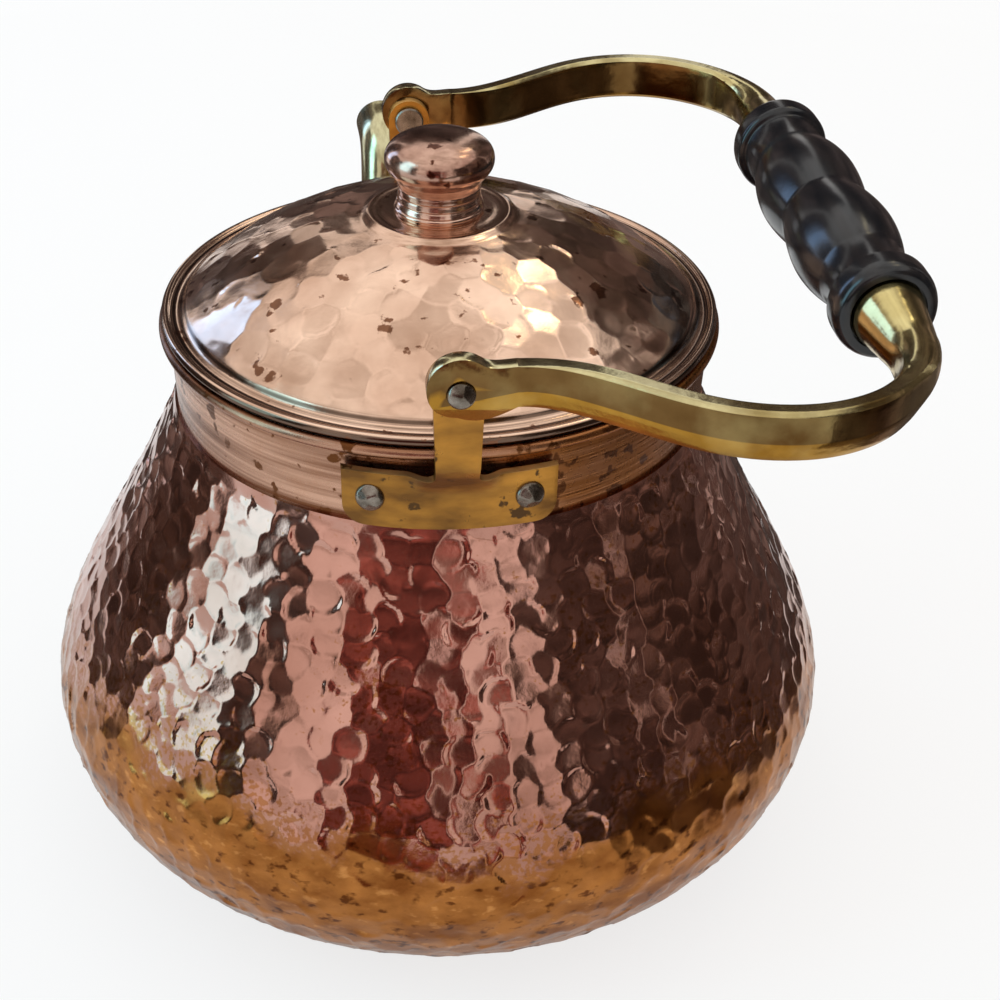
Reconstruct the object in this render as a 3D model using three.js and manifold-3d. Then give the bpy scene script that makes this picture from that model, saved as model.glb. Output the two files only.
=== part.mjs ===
// A hammered copper kettle with a domed lid, a brass spout and a brass bail with a turned wooden grip.
// Millimetres, +Z up. The origin is the centre of the flat base. +Y points along the spout side and
// +X to the side on which the bail lies at rest.
import * as THREE from 'three';
import { mergeVertices } from 'three/addons/utils/BufferGeometryUtils.js';
import Module from 'manifold-3d';

// Pot body
const WALL = 1.3;
const BASE_R = 60;
const BELLY_R = 115;
const BELLY_Z = 48;
const SEAM_R = 72.4;
const SEAM_Z = 138.8;
const BASE_RUN = 28;
const BASE_LIFT = 1.5;
const BELLY_DROP = 28;
const BELLY_RISE = 20;
const FLANK_RUN = 36;
const FLANK_SLOPE = 0.4;

// Neck collar with its rolled rim
const COLLAR_H = 21.5;
const COLLAR_WALL = 1.2;
const COLLAR_STEP = 0.8;
const COLLAR_FLARE = 0.6;
const RIM_OVERHANG = 2.3;
const RIM_BEAD = 1.5;
const RIM_ROLL_START = -75;
const RIM_ROLL_END = 135;

// Lid
const LID_WALL = 1.0;
const LID_INSET = 0.9;
const LID_BEAD = 1.25;
const LID_ROLL = 115;
const FLANGE_W = 6.5;
const FLANGE_FALL = 1.0;
const DOME_SPHERE = 105;
const CROWN_R = 13.5;
const SKIRT_WALL = 1.0;
const SKIRT_DEPTH = 9;
const SKIRT_CLEARANCE = 1.0;

// Knob and the screw that holds it
const KNOB_FOOT_R = 11.7;
const KNOB_GROOVE = 0.6;
const KNOB_GROOVE_H = 1.1;
const KNOB_STEM_R = 11.4;
const KNOB_STEM_H = 4.4;
const KNOB_WAIST_R = 11.1;
const KNOB_WAIST_H = 8;
const KNOB_CHEEK_R = 13.1;
const KNOB_CHEEK_H = 10.6;
const KNOB_HEAD_R = 14.1;
const KNOB_HEAD_H = 13.6;
const KNOB_H = 20;
const KNOB_THREAD_R = 2.2;
const KNOB_THREAD_H = 11;
const WASHER_R = 7;
const WASHER_T = 1.4;
const SCREW_HEAD_R = 4.4;
const SCREW_HEAD_T = 2.2;
const SCREW_HEAD_EDGE = 1.3;

// Brackets that carry the bail
const BAIL_OFFSET = -2.4;
const PIVOT_RISE = 22.3;
const PLATE_W = 51.5;
const PLATE_H = 15;
const PLATE_T = 2.8;
const PLATE_LIFT = 1.8;
const PLATE_CORNER = 5;
const PLATE_OFFSET = -1.1;
const PLATE_GAP = 0.7;
const UPRIGHT_FOOT_W = 10.2;
const EAR_R = 6;
const EAR_CLEARANCE = 2.4;
const EAR_T = 3.1;
const JOGGLE_DROP = 7.8;
const JOGGLE_H = 7.5;

// Rivets of the brackets
const RIVET_SPACING = 37;
const RIVET_RAISE = 0.6;
const RIVET_R = 2.2;
const RIVET_HEAD_R = 3.6;
const RIVET_HEAD_H = 2.3;
const RIVET_TAIL_R = 3.2;
const RIVET_TAIL_H = 1.2;
const RIVET_TAIL_EDGE = 0.6;

// Pivot pins
const PIN_R = 2.5;
const PIN_HEAD_R = 3.25;
const PIN_HEAD_H = 2;
const PIN_TAIL_R = 4.2;
const PIN_TAIL_H = 1.6;
const PIN_TAIL_EDGE = 0.3;

// Bail arms
const EYE_R = 7.7;
const EYE_T = 4;
const EYE_JOIN_TOP = 55;
const EYE_JOIN_LOW = 265;
const EYE_WEB = 2.4;
const EYE_FACET_DROP = 3.4;
const NECK_X = 13;
const NECK_EASE = 3;
const BAIL_REACH = 105.4;
const BAIL_SPREAD = 24.9;
const BAIL_BOW = 1.2;
const ARM_START = 8;
const ARM_STRAIGHT = 10;
const ARM_GROWTH = 22;
const ARM_CREST = 70;
const ARM_CREST_RUN = 26;
const ARM_T = 5;
const ARM_H = 12.4;
const ARM_NECK_H = 11;
const ARM_CHAMFER = 1;
const ARM_FACET = 4.6;
const ARM_FACET_IN = 1.5;
const CORNER_FULLNESS = 0.56;
const CORNER_SIDE = 0.5;
const CORNER_ROUND_FROM = 0.55;
const BOSS_L = 17;
const BOSS_NECK_R = 6.4;
const BOSS_R = 9.1;

// Grip and the rod through it
const GRIP_HALF_L = 55;
const GRIP_FLANGE_R = 12.8;
const GRIP_FLANGE_W = 9.8;
const GRIP_FLANGE_EDGE = 2.4;
const GRIP_FLANGE_FALL = 4.2;
const GRIP_FLANGE_DROP = 2.1;
const GRIP_FLANGE_TURN = 0.3;
const GRIP_NECK_R = 10.8;
const GRIP_NECK_W = 11.6;
const GRIP_NECK_BREAK = 0.8;
const GRIP_BEAD_R = 13.5;
const GRIP_GROOVE_R = 11.6;
const GRIP_SWELL = 1.8;
const GRIP_RECESS = 1.8;
const ROD_R = 2.5;
const ROD_IN_BOSS = 12;

// Spout
const SPOUT_TURN = 3;
const SPOUT_WALL = 1.3;
const SPOUT_ROOT_IN = 29;
const SPOUT_ROOT_RISE = 30;
const SPOUT_ROOT_R = 20;
const SPOUT_KNEE_IN = 2;
const SPOUT_KNEE_RISE = 49;
const SPOUT_NECK_OUT = 10;
const SPOUT_NECK_DROP = 35.3;
const SPOUT_NECK_R = 9;
const SPOUT_NECK_AT = 0.62;
const SPOUT_TOP_OUT = 14.5;
const SPOUT_TOP_DROP = 14.5;
const SPOUT_BEND_OUT = 19.5;
const SPOUT_BEND_DROP = 7;
const SPOUT_MOUTH_OUT = 31;
const SPOUT_MOUTH_DROP = 4.2;
const SPOUT_MOUTH_R = 7.4;
const SPOUT_LIP = 0.6;
const SPOUT_LIP_FROM = 0.84;
const SEAT_RING_W = 6.5;
const SEAT_RING_T = 1.6;
const SEAT_RING_TILT = 31;

// Clearances
const SEAT = 0.05;
const GAP = 0.3;
const RUNNING = 0.2;

// How far a cutter runs on past what it cuts
const CUT = 14;

// Resolution of the round and curved pieces
const ROUND = 56;
const ROUND_SMALL = 24;
const ROUND_TINY = 12;
const ROUND_CORNER = 10;
const BEAD_STEPS = 5;
const DOME_STEPS = 6;
const FLANK_STEPS = 6;
const SPOUT_STEPS = 14;
const ARM_STEPS = 7;
const BOSS_STEPS = 3;
const HEAD_STEPS = 3;
const GRIP_STEPS = 6;

// Sizes that follow from the ones above
const rimR = SEAM_R + RIM_OVERHANG;
const rimZ = SEAM_Z + COLLAR_H;
const collarR = SEAM_R - COLLAR_STEP;
const lidR = rimR - LID_INSET;
const domeR = lidR - FLANGE_W;
const plateIn = collarR + COLLAR_FLARE + PLATE_GAP;
const plateOut = plateIn + PLATE_T;
const plateBottom = SEAM_Z + PLATE_LIFT;
const plateTop = plateBottom + PLATE_H;
const rivetZ = plateBottom + PLATE_H / 2 + RIVET_RAISE;
const joggleLow = rimZ - JOGGLE_DROP;
const joggleHigh = joggleLow + JOGGLE_H;
const earIn = rimR + EAR_CLEARANCE;
const earOut = earIn + EAR_T;
const pivotZ = rimZ + PIVOT_RISE;
const eyeIn = earOut + GAP;
const eyeOut = eyeIn + EYE_T;
const eyeMiddle = eyeIn + EYE_T / 2;
const bailHalfW = eyeMiddle + BAIL_SPREAD;
const cornerEnd = GRIP_HALF_L + BOSS_L;

const wasm = await Module();
wasm.setup();

const radians = THREE.MathUtils.degToRad;
const v2 = (x, y) => new THREE.Vector2(x, y);
const v3 = (x, y, z) => new THREE.Vector3(x, y, z);

function finish(color, roughness, metalness) {
  return new THREE.MeshStandardMaterial({ color, roughness, metalness });
}

const copper = finish(0xb5694c, 0.25, 1);
const tinned = finish(0xb9b4ab, 0.4, 1);
const brass = finish(0xb58a3a, 0.3, 1);
const steel = finish(0x8c8782, 0.35, 1);
const wood = finish(0x15110f, 0.2, 0);

// Turns a closed surface into a solid, with its faces pointing out
function solidOf(geometry) {
  const plain = new THREE.BufferGeometry();
  plain.setAttribute('position', geometry.getAttribute('position').clone());
  if (geometry.index) plain.setIndex(geometry.index.clone());
  const merged = mergeVertices(plain, 1e-4);
  const place = merged.getAttribute('position');
  const corner = merged.index.array;
  const a = v3();
  const b = v3();
  const c = v3();
  const kept = [];
  let volume = 0;
  for (let i = 0; i < corner.length; i += 3) {
    const [p, q, r] = [corner[i], corner[i + 1], corner[i + 2]];
    if (p === q || q === r || r === p) continue;
    a.fromBufferAttribute(place, p);
    b.fromBufferAttribute(place, q);
    c.fromBufferAttribute(place, r);
    volume += a.dot(b.cross(c));
    kept.push([p, q, r]);
  }
  const turned = volume < 0 ? kept.map(([p, q, r]) => [p, r, q]) : kept;
  const mesh = new wasm.Mesh({
    numProp: 3,
    vertProperties: new Float32Array(place.array),
    triVerts: new Uint32Array(turned.flat()),
  });
  return new wasm.Manifold(mesh);
}

function geometryOf(solid) {
  const mesh = solid.getMesh();
  const geometry = new THREE.BufferGeometry();
  geometry.setAttribute('position', new THREE.BufferAttribute(mesh.vertProperties, 3));
  geometry.setIndex(new THREE.BufferAttribute(mesh.triVerts, 1));
  geometry.computeVertexNormals();
  return geometry;
}

// A solid turned about the Z axis from a profile of radius and height
function turned(profile, sides) {
  const lathe = new THREE.LatheGeometry(profile, sides);
  lathe.rotateX(Math.PI / 2);
  return solidOf(lathe);
}

// A solid turned about the Y axis, for what lies across the pot
function turnedAcross(profile, sides) {
  return solidOf(new THREE.LatheGeometry(profile, sides));
}

function ringProfile(points) {
  return [...points, points[0].clone()];
}

function arcPoints(centre, radius, startDegrees, endDegrees, steps) {
  const points = [];
  for (let i = 0; i <= steps; i += 1) {
    const angle = radians(THREE.MathUtils.lerp(startDegrees, endDegrees, i / steps));
    points.push(v2(centre.x + radius * Math.cos(angle), centre.y + radius * Math.sin(angle)));
  }
  return points;
}

// A solid skinned over rings of points that follow each other, closed at both ends
function skinned(rings) {
  const sides = rings[0].length;
  const places = rings.flat().flatMap((point) => [point.x, point.y, point.z]);
  const corners = [];
  for (let i = 0; i < rings.length - 1; i += 1) {
    for (let j = 0; j < sides; j += 1) {
      const k = (j + 1) % sides;
      const low = i * sides;
      const high = low + sides;
      corners.push(low + j, low + k, high + k, low + j, high + k, high + j);
    }
  }
  [rings[0], rings[rings.length - 1]].forEach((ring, end) => {
    const centre = ring.reduce((sum, point) => sum.add(point), v3()).divideScalar(sides);
    const hub = places.length / 3;
    places.push(centre.x, centre.y, centre.z);
    const first = end === 0 ? 0 : (rings.length - 1) * sides;
    for (let j = 0; j < sides; j += 1) {
      const k = (j + 1) % sides;
      if (end === 0) corners.push(first + k, first + j, hub);
      else corners.push(first + j, first + k, hub);
    }
  });
  const geometry = new THREE.BufferGeometry();
  geometry.setAttribute('position', new THREE.Float32BufferAttribute(places, 3));
  geometry.setIndex(corners);
  return solidOf(geometry);
}

// An outline in X and Z, extruded along Y from one place to another
function slab(outline, fromY, toY) {
  const geometry = new THREE.ExtrudeGeometry(outline, {
    depth: toY - fromY,
    bevelEnabled: false,
    curveSegments: ROUND_CORNER,
  });
  geometry.rotateX(Math.PI / 2);
  geometry.translate(0, toY, 0);
  return solidOf(geometry);
}

// An outline in X and Y, extruded along Z
function plateOf(outline, fromZ, toZ) {
  const geometry = new THREE.ExtrudeGeometry(outline, { depth: toZ - fromZ, bevelEnabled: false });
  geometry.translate(0, 0, fromZ);
  return solidOf(geometry);
}

// A straight round bar between two points
function bar(from, to, radius, sides) {
  const along = to.clone().sub(from);
  const cylinder = new THREE.CylinderGeometry(radius, radius, along.length(), sides);
  const turn = new THREE.Quaternion().setFromUnitVectors(v3(0, 1, 0), along.clone().normalize());
  cylinder.applyQuaternion(turn);
  const middle = from.clone().add(to).divideScalar(2);
  cylinder.translate(middle.x, middle.y, middle.z);
  return solidOf(cylinder);
}

function mesh(name, solid, material) {
  const piece = new THREE.Mesh(geometryOf(solid), material);
  piece.name = name;
  return piece;
}

// Outer profile of the pot body, from the edge of the flat base up to the seam
const lowerFlank = new THREE.CubicBezierCurve(
  v2(BASE_R, 0),
  v2(BASE_R + BASE_RUN, BASE_LIFT),
  v2(BELLY_R, BELLY_Z - BELLY_DROP),
  v2(BELLY_R, BELLY_Z),
);
const upperFlank = new THREE.CubicBezierCurve(
  v2(BELLY_R, BELLY_Z),
  v2(BELLY_R, BELLY_Z + BELLY_RISE),
  v2(SEAM_R + FLANK_RUN * FLANK_SLOPE, SEAM_Z - FLANK_RUN),
  v2(SEAM_R, SEAM_Z),
);

// The body's outline moved outwards by a distance along its normal
function bodyOutline(distance) {
  const points = [];
  [lowerFlank, upperFlank].forEach((curve, first) => {
    for (let i = first; i <= FLANK_STEPS; i += 1) {
      const point = curve.getPoint(i / FLANK_STEPS);
      const along = curve.getTangent(i / FLANK_STEPS);
      points.push(v2(point.x + distance * along.y, point.y - distance * along.x));
    }
  });
  return points;
}

function bodyShellProfile() {
  const inner = bodyOutline(-WALL);
  inner[0].y = WALL;
  const slant = upperFlank.getTangent(1);
  inner[inner.length - 1].set(SEAM_R - WALL / slant.y, SEAM_Z);
  return [v2(0, 0), ...bodyOutline(0), ...inner.reverse(), v2(0, WALL)];
}

// The body filled solid and grown by a distance, to cut pieces that seat on it
function bodyBlock(distance) {
  const outline = bodyOutline(distance);
  const top = outline[outline.length - 1];
  return turned([v2(0, -distance), ...outline, v2(0, top.y)], ROUND);
}

// Spout centre line and radius, before the small turn about the pot's axis
const spoutLine = new THREE.CatmullRomCurve3([
  v3(0, BELLY_R - SPOUT_ROOT_IN, BELLY_Z + SPOUT_ROOT_RISE),
  v3(0, BELLY_R - SPOUT_KNEE_IN, BELLY_Z + SPOUT_KNEE_RISE),
  v3(0, BELLY_R + SPOUT_NECK_OUT, rimZ - SPOUT_NECK_DROP),
  v3(0, BELLY_R + SPOUT_TOP_OUT, rimZ - SPOUT_TOP_DROP),
  v3(0, BELLY_R + SPOUT_BEND_OUT, rimZ - SPOUT_BEND_DROP),
  v3(0, BELLY_R + SPOUT_MOUTH_OUT, rimZ - SPOUT_MOUTH_DROP),
]);

function spoutRadius(t) {
  if (t < SPOUT_NECK_AT) {
    const ease = 0.5 - 0.5 * Math.cos((Math.PI * t) / SPOUT_NECK_AT);
    return THREE.MathUtils.lerp(SPOUT_ROOT_R, SPOUT_NECK_R, ease);
  }
  const beyond = (t - SPOUT_NECK_AT) / (1 - SPOUT_NECK_AT);
  return THREE.MathUtils.lerp(SPOUT_NECK_R, SPOUT_MOUTH_R, beyond);
}

// The spout as a solid bar, grown by a distance, with its ends run on past the centre line's ends
function spoutBar(grow, runOn) {
  const rings = [];
  const ringAt = (centre, along, radius) => {
    const side = v3(1, 0, 0);
    const up = side.clone().cross(along).normalize();
    const ring = [];
    for (let j = 0; j < ROUND_SMALL; j += 1) {
      const angle = (2 * Math.PI * j) / ROUND_SMALL;
      const spoke = side.clone().multiplyScalar(Math.cos(angle)).addScaledVector(up, Math.sin(angle));
      ring.push(centre.clone().addScaledVector(spoke, radius));
    }
    return ring;
  };
  for (let i = 0; i <= SPOUT_STEPS; i += 1) {
    const t = i / SPOUT_STEPS;
    const flare = SPOUT_LIP * Math.max(0, (t - SPOUT_LIP_FROM) / (1 - SPOUT_LIP_FROM)) ** 2;
    rings.push(ringAt(spoutLine.getPointAt(t), spoutLine.getTangentAt(t), spoutRadius(t) + grow + flare));
  }
  if (runOn > 0) {
    const foot = spoutLine.getTangentAt(0);
    const tip = spoutLine.getTangentAt(1);
    const start = spoutLine.getPointAt(0).addScaledVector(foot, -runOn);
    const end = spoutLine.getPointAt(1).addScaledVector(tip, runOn);
    rings.unshift(ringAt(start, foot, SPOUT_ROOT_R + grow));
    rings.push(ringAt(end, tip, SPOUT_MOUTH_R + SPOUT_LIP + grow));
  }
  const solid = skinned(rings);
  return solid.rotate([0, 0, SPOUT_TURN]);
}

function potPieces() {
  const shell = turned(bodyShellProfile(), ROUND).subtract(spoutBar(-SPOUT_WALL, CUT));
  const rimCentre = v2(rimR - RIM_BEAD, rimZ);
  const collarTop = rimZ - RIM_BEAD;
  const collar = turned(ringProfile([
    v2(collarR, SEAM_Z + SEAT),
    v2(collarR + COLLAR_FLARE, collarTop),
    ...arcPoints(rimCentre, RIM_BEAD, RIM_ROLL_START, RIM_ROLL_END, BEAD_STEPS),
    v2(collarR + COLLAR_FLARE - COLLAR_WALL, rimZ),
    v2(collarR - COLLAR_WALL, SEAM_Z + SEAT),
  ]), ROUND);
  return { shell, collar };
}

function spoutPieces() {
  const tube = spoutBar(0, 0).subtract(spoutBar(-SPOUT_WALL, CUT));
  const spout = tube.subtract(bodyBlock(GAP));
  const root = spoutLine.getPointAt(0);
  const along = v3(0, Math.cos(radians(SEAT_RING_TILT)), Math.sin(radians(SEAT_RING_TILT)));
  const disc = bar(
    root,
    root.clone().addScaledVector(along, 2 * SPOUT_ROOT_IN),
    SPOUT_ROOT_R + SEAT_RING_W,
    ROUND_SMALL,
  ).rotate([0, 0, SPOUT_TURN]);
  const skin = bodyBlock(GAP + SEAT_RING_T).subtract(bodyBlock(GAP));
  const ring = disc.intersect(skin).subtract(spoutBar(GAP, CUT));
  return { spout, ring };
}

// Height of the lid's outer sphere at a radius
const lidBeadZ = rimZ + RIM_BEAD + GAP + LID_BEAD;
const sphereZ = lidBeadZ + LID_BEAD + FLANGE_FALL - Math.sqrt(DOME_SPHERE ** 2 - domeR ** 2);
const domeZ = (radius) => sphereZ + Math.sqrt(DOME_SPHERE ** 2 - radius ** 2);
const crownZ = domeZ(CROWN_R);

function lidPieces() {
  const beadCentre = v2(lidR - LID_BEAD, lidBeadZ);
  const top = [];
  const under = [];
  for (let i = 0; i <= DOME_STEPS; i += 1) {
    const radius = THREE.MathUtils.lerp(CROWN_R, domeR, i / DOME_STEPS);
    const wallUp = LID_WALL / Math.sqrt(1 - (radius / DOME_SPHERE) ** 2);
    top.push(v2(radius, domeZ(radius)));
    under.push(v2(radius, domeZ(radius) - wallUp));
  }
  under[0].y = crownZ - LID_WALL;
  const dome = turned([
    v2(0, crownZ),
    ...top,
    ...arcPoints(beadCentre, LID_BEAD, LID_ROLL, -LID_ROLL, BEAD_STEPS),
    v2(beadCentre.x - LID_BEAD, lidBeadZ - SEAT),
    ...under.reverse(),
    v2(0, crownZ - LID_WALL),
  ], ROUND);
  const screwHole = bar(v3(0, 0, crownZ - CUT), v3(0, 0, crownZ + CUT), KNOB_THREAD_R + GAP, ROUND_TINY);
  const skirtR = collarR - COLLAR_WALL - SKIRT_CLEARANCE;
  const skirtTop = lidBeadZ - SEAT - GAP;
  const skirt = turned(ringProfile([
    v2(skirtR, skirtTop - SKIRT_DEPTH),
    v2(skirtR, skirtTop),
    v2(skirtR - SKIRT_WALL, skirtTop),
    v2(skirtR - SKIRT_WALL, skirtTop - SKIRT_DEPTH),
  ]), ROUND);
  return { dome: dome.subtract(screwHole), skirt };
}

// Profile of a domed head from its edge to its crown
function domedHead(radius, seat, height) {
  const points = [];
  for (let i = 0; i <= HEAD_STEPS; i += 1) {
    const angle = (Math.PI * i) / (2 * HEAD_STEPS);
    points.push(v2(radius * Math.cos(angle), seat + height * Math.sin(angle)));
  }
  return points;
}

function knobPieces() {
  const footZ = crownZ + SEAT;
  const knob = turned([
    v2(KNOB_THREAD_R + SEAT, footZ),
    v2(KNOB_FOOT_R, footZ),
    v2(KNOB_FOOT_R - KNOB_GROOVE, footZ + KNOB_GROOVE_H),
    v2(KNOB_STEM_R, footZ + KNOB_STEM_H),
    v2(KNOB_WAIST_R, footZ + KNOB_WAIST_H),
    v2(KNOB_CHEEK_R, footZ + KNOB_CHEEK_H),
    ...domedHead(KNOB_HEAD_R, footZ + KNOB_HEAD_H, KNOB_H - KNOB_HEAD_H),
    v2(0, footZ + KNOB_THREAD_H),
    v2(KNOB_THREAD_R + SEAT, footZ + KNOB_THREAD_H),
    v2(KNOB_THREAD_R + SEAT, footZ),
  ], ROUND_SMALL);
  const washerTop = crownZ - LID_WALL - SEAT;
  const washerHole = KNOB_THREAD_R + GAP;
  const washer = turned(ringProfile([
    v2(washerHole, washerTop - WASHER_T),
    v2(WASHER_R, washerTop - WASHER_T),
    v2(WASHER_R, washerTop),
    v2(washerHole, washerTop),
  ]), ROUND_SMALL);
  const headTop = washerTop - WASHER_T - SEAT;
  const screw = turned([
    v2(0, headTop - SCREW_HEAD_T),
    v2(SCREW_HEAD_R - SCREW_HEAD_EDGE, headTop - SCREW_HEAD_T),
    v2(SCREW_HEAD_R, headTop - SCREW_HEAD_T / 2),
    v2(SCREW_HEAD_R, headTop),
    v2(KNOB_THREAD_R - SEAT, headTop),
    v2(KNOB_THREAD_R - SEAT, footZ + KNOB_THREAD_H - GAP),
    v2(0, footZ + KNOB_THREAD_H - GAP),
  ], ROUND_TINY);
  return { knob, washer, screw };
}

// The T-shaped outline of a bracket seen from the front, with its upright at an offset
function bracketOutline(middle) {
  const left = middle + PLATE_OFFSET - PLATE_W / 2;
  const right = left + PLATE_W;
  const outline = new THREE.Shape();
  outline.moveTo(left + PLATE_CORNER, plateBottom);
  outline.lineTo(right - PLATE_CORNER, plateBottom);
  outline.absarc(
    right - PLATE_CORNER,
    plateBottom + PLATE_CORNER,
    PLATE_CORNER,
    -Math.PI / 2,
    0,
    false,
  );
  outline.lineTo(right, plateTop);
  outline.lineTo(middle + UPRIGHT_FOOT_W / 2, plateTop);
  outline.lineTo(middle + EAR_R, pivotZ);
  outline.absarc(middle, pivotZ, EAR_R, 0, Math.PI, false);
  outline.lineTo(middle - UPRIGHT_FOOT_W / 2, plateTop);
  outline.lineTo(left, plateTop);
  outline.absarc(
    left + PLATE_CORNER,
    plateBottom + PLATE_CORNER,
    PLATE_CORNER,
    Math.PI,
    1.5 * Math.PI,
    false,
  );
  return outline;
}

// The bracket's upright, drawn from the side as distance from the pot's axis and height.
// It steps out over the rolled rim.
function upright(middle) {
  const foot = plateBottom + PLATE_H / 2;
  const top = pivotZ + 2 * EAR_R;
  const face = plateOut - SEAT;
  const profile = new THREE.Shape();
  profile.moveTo(plateIn + SEAT, foot);
  profile.lineTo(face, foot);
  profile.lineTo(face, joggleLow);
  profile.lineTo(earOut, joggleHigh);
  profile.lineTo(earOut, top);
  profile.lineTo(earIn, top);
  profile.lineTo(earIn, joggleHigh);
  profile.lineTo(plateIn + SEAT, joggleLow);
  const width = 2 * EAR_R + 2 * GAP;
  const stem = new THREE.ExtrudeGeometry(profile, { depth: width, bevelEnabled: false });
  stem.applyMatrix4(new THREE.Matrix4().makeBasis(v3(0, -1, 0), v3(0, 0, 1), v3(-1, 0, 0)));
  stem.translate(middle + width / 2, 0, 0);
  return solidOf(stem);
}

function rivetAngle(middle, side) {
  return Math.asin((middle + PLATE_OFFSET + (side * RIVET_SPACING) / 2) / plateIn);
}

// A hole along the radius at an angle from the front of the pot
function rivetHole(angle) {
  const spoke = v3(Math.sin(angle), -Math.cos(angle), 0);
  const inside = spoke.clone().multiplyScalar(plateIn - CUT).setZ(rivetZ);
  const outside = spoke.clone().multiplyScalar(plateOut + CUT).setZ(rivetZ);
  return bar(inside, outside, RIVET_R + GAP, ROUND_TINY);
}

// A front bracket with its upright at an offset along X
function bracket(middle) {
  const reach = PLATE_W / 2 + Math.abs(middle + PLATE_OFFSET) + PLATE_T;
  const sweep = Math.asin(reach / plateIn);
  const start = -Math.PI / 2 - sweep;
  const end = -Math.PI / 2 + sweep;
  const band = new THREE.Shape();
  band.absarc(0, 0, plateOut, start, end, false);
  band.absarc(0, 0, plateIn, end, start, true);
  const strip = plateOf(band, plateBottom, plateTop);
  const outline = slab(bracketOutline(middle), -earOut - CUT, -plateIn + CUT);
  const keep = outline.subtract(potClearance());
  let solid = strip.add(upright(middle)).intersect(keep);
  const pinHole = bar(
    v3(middle, -earIn + CUT, pivotZ),
    v3(middle, -earOut - CUT, pivotZ),
    PIN_R + GAP,
    ROUND_SMALL,
  );
  solid = solid.subtract(pinHole);
  [-1, 1].forEach((side) => {
    solid = solid.subtract(rivetHole(rivetAngle(middle, side)));
  });
  return solid;
}

// Room for the collar, its rim and the lid inside the brackets
function potClearance() {
  const top = pivotZ + CUT;
  return turned([
    v2(0, plateBottom - CUT),
    v2(plateIn, plateBottom - CUT),
    v2(plateIn, rimZ - RIM_BEAD - 2 * GAP),
    v2(rimR + GAP, rimZ - RIM_BEAD - GAP),
    v2(rimR + GAP, top),
    v2(0, top),
  ], ROUND);
}

// A rivet along the radius at an angle from the front, domed outside and hammered flat inside
function rivet(angle) {
  const wallIn = plateIn - PLATE_GAP - COLLAR_FLARE - COLLAR_WALL - GAP;
  const seat = plateOut + SEAT;
  const profile = [
    v2(0, wallIn - RIVET_TAIL_H),
    v2(RIVET_TAIL_R - RIVET_TAIL_EDGE, wallIn - RIVET_TAIL_H),
    v2(RIVET_TAIL_R, wallIn - GAP),
    v2(RIVET_R, wallIn),
    v2(RIVET_R, seat),
    ...domedHead(RIVET_HEAD_R, seat, RIVET_HEAD_H),
  ];
  const solid = turnedAcross(profile, ROUND_TINY);
  return solid.rotate([0, 0, 180 + THREE.MathUtils.radToDeg(angle)]).translate([0, 0, rivetZ]);
}

// The pin of the rear pivot, on the +Y side
function pivotPin() {
  const tail = earIn - SEAT;
  const head = eyeOut + RUNNING;
  const profile = [
    v2(0, tail - PIN_TAIL_H),
    v2(PIN_TAIL_R - PIN_TAIL_EDGE, tail - PIN_TAIL_H),
    v2(PIN_TAIL_R, tail - PIN_TAIL_H + PIN_TAIL_EDGE),
    v2(PIN_TAIL_R, tail),
    v2(PIN_R, tail),
    v2(PIN_R, head),
    ...domedHead(PIN_HEAD_R, head, PIN_HEAD_H),
  ];
  return turnedAcross(profile, ROUND_SMALL);
}

// Twelve points of an arm's section: a rectangle with broken corners that can round to a circle
function armSection(thickness, height, round, radius) {
  const a = thickness / 2;
  const b = height / 2;
  const c = ARM_CHAMFER;
  const facet = Math.min(ARM_FACET, b);
  const flat = [
    [a, -b + facet], [a, 0], [a, b - c], [a - c, b], [0, b], [-a + c, b],
    [-a, b - c], [-a, 0], [-a, -b + c], [-a + c, -b], [0, -b], [a - ARM_FACET_IN, -b],
  ];
  return flat.map(([across, up], i) => {
    const angle = radians(-30 + 30 * i);
    return v2(
      THREE.MathUtils.lerp(across, radius * Math.cos(angle), round),
      THREE.MathUtils.lerp(up, radius * Math.sin(angle), round),
    );
  });
}

// The eye with its web into the arm, as an outline round the pivot axis
function eyeOutline() {
  const neckTop = BAIL_BOW + ARM_NECK_H / 2;
  const neckLow = BAIL_BOW - ARM_NECK_H / 2;
  const low = BAIL_BOW - EYE_R - EYE_WEB;
  const join = radians(EYE_JOIN_TOP);
  const joinX = EYE_R * Math.cos(join);
  const joinZ = BAIL_BOW + EYE_R * Math.sin(join);
  const outline = new THREE.Shape();
  outline.moveTo(NECK_X, neckTop);
  outline.bezierCurveTo(
    NECK_X - NECK_EASE,
    neckTop,
    joinX + NECK_EASE * Math.sin(join),
    joinZ - NECK_EASE * Math.cos(join),
    joinX,
    joinZ,
  );
  outline.absarc(0, BAIL_BOW, EYE_R, join, radians(EYE_JOIN_LOW), false);
  outline.bezierCurveTo(EYE_R / 2, low, EYE_R, low + EYE_WEB / 2, NECK_X, neckLow);
  return outline;
}

// What the filed facet takes off the eye's lower outer edge
function eyeFacet() {
  const slope = ARM_FACET_IN / ARM_FACET;
  const neckFacet = BAIL_BOW - ARM_NECK_H / 2 + ARM_FACET;
  const section = (x, top) => [
    v3(x, eyeOut, top),
    v3(x, eyeOut + CUT, top),
    v3(x, eyeOut + CUT, top - CUT),
    v3(x, eyeOut - slope * CUT, top - CUT),
  ];
  return skinned([section(-EYE_R - GAP, -EYE_FACET_DROP), section(NECK_X + GAP, neckFacet)]);
}

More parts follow.
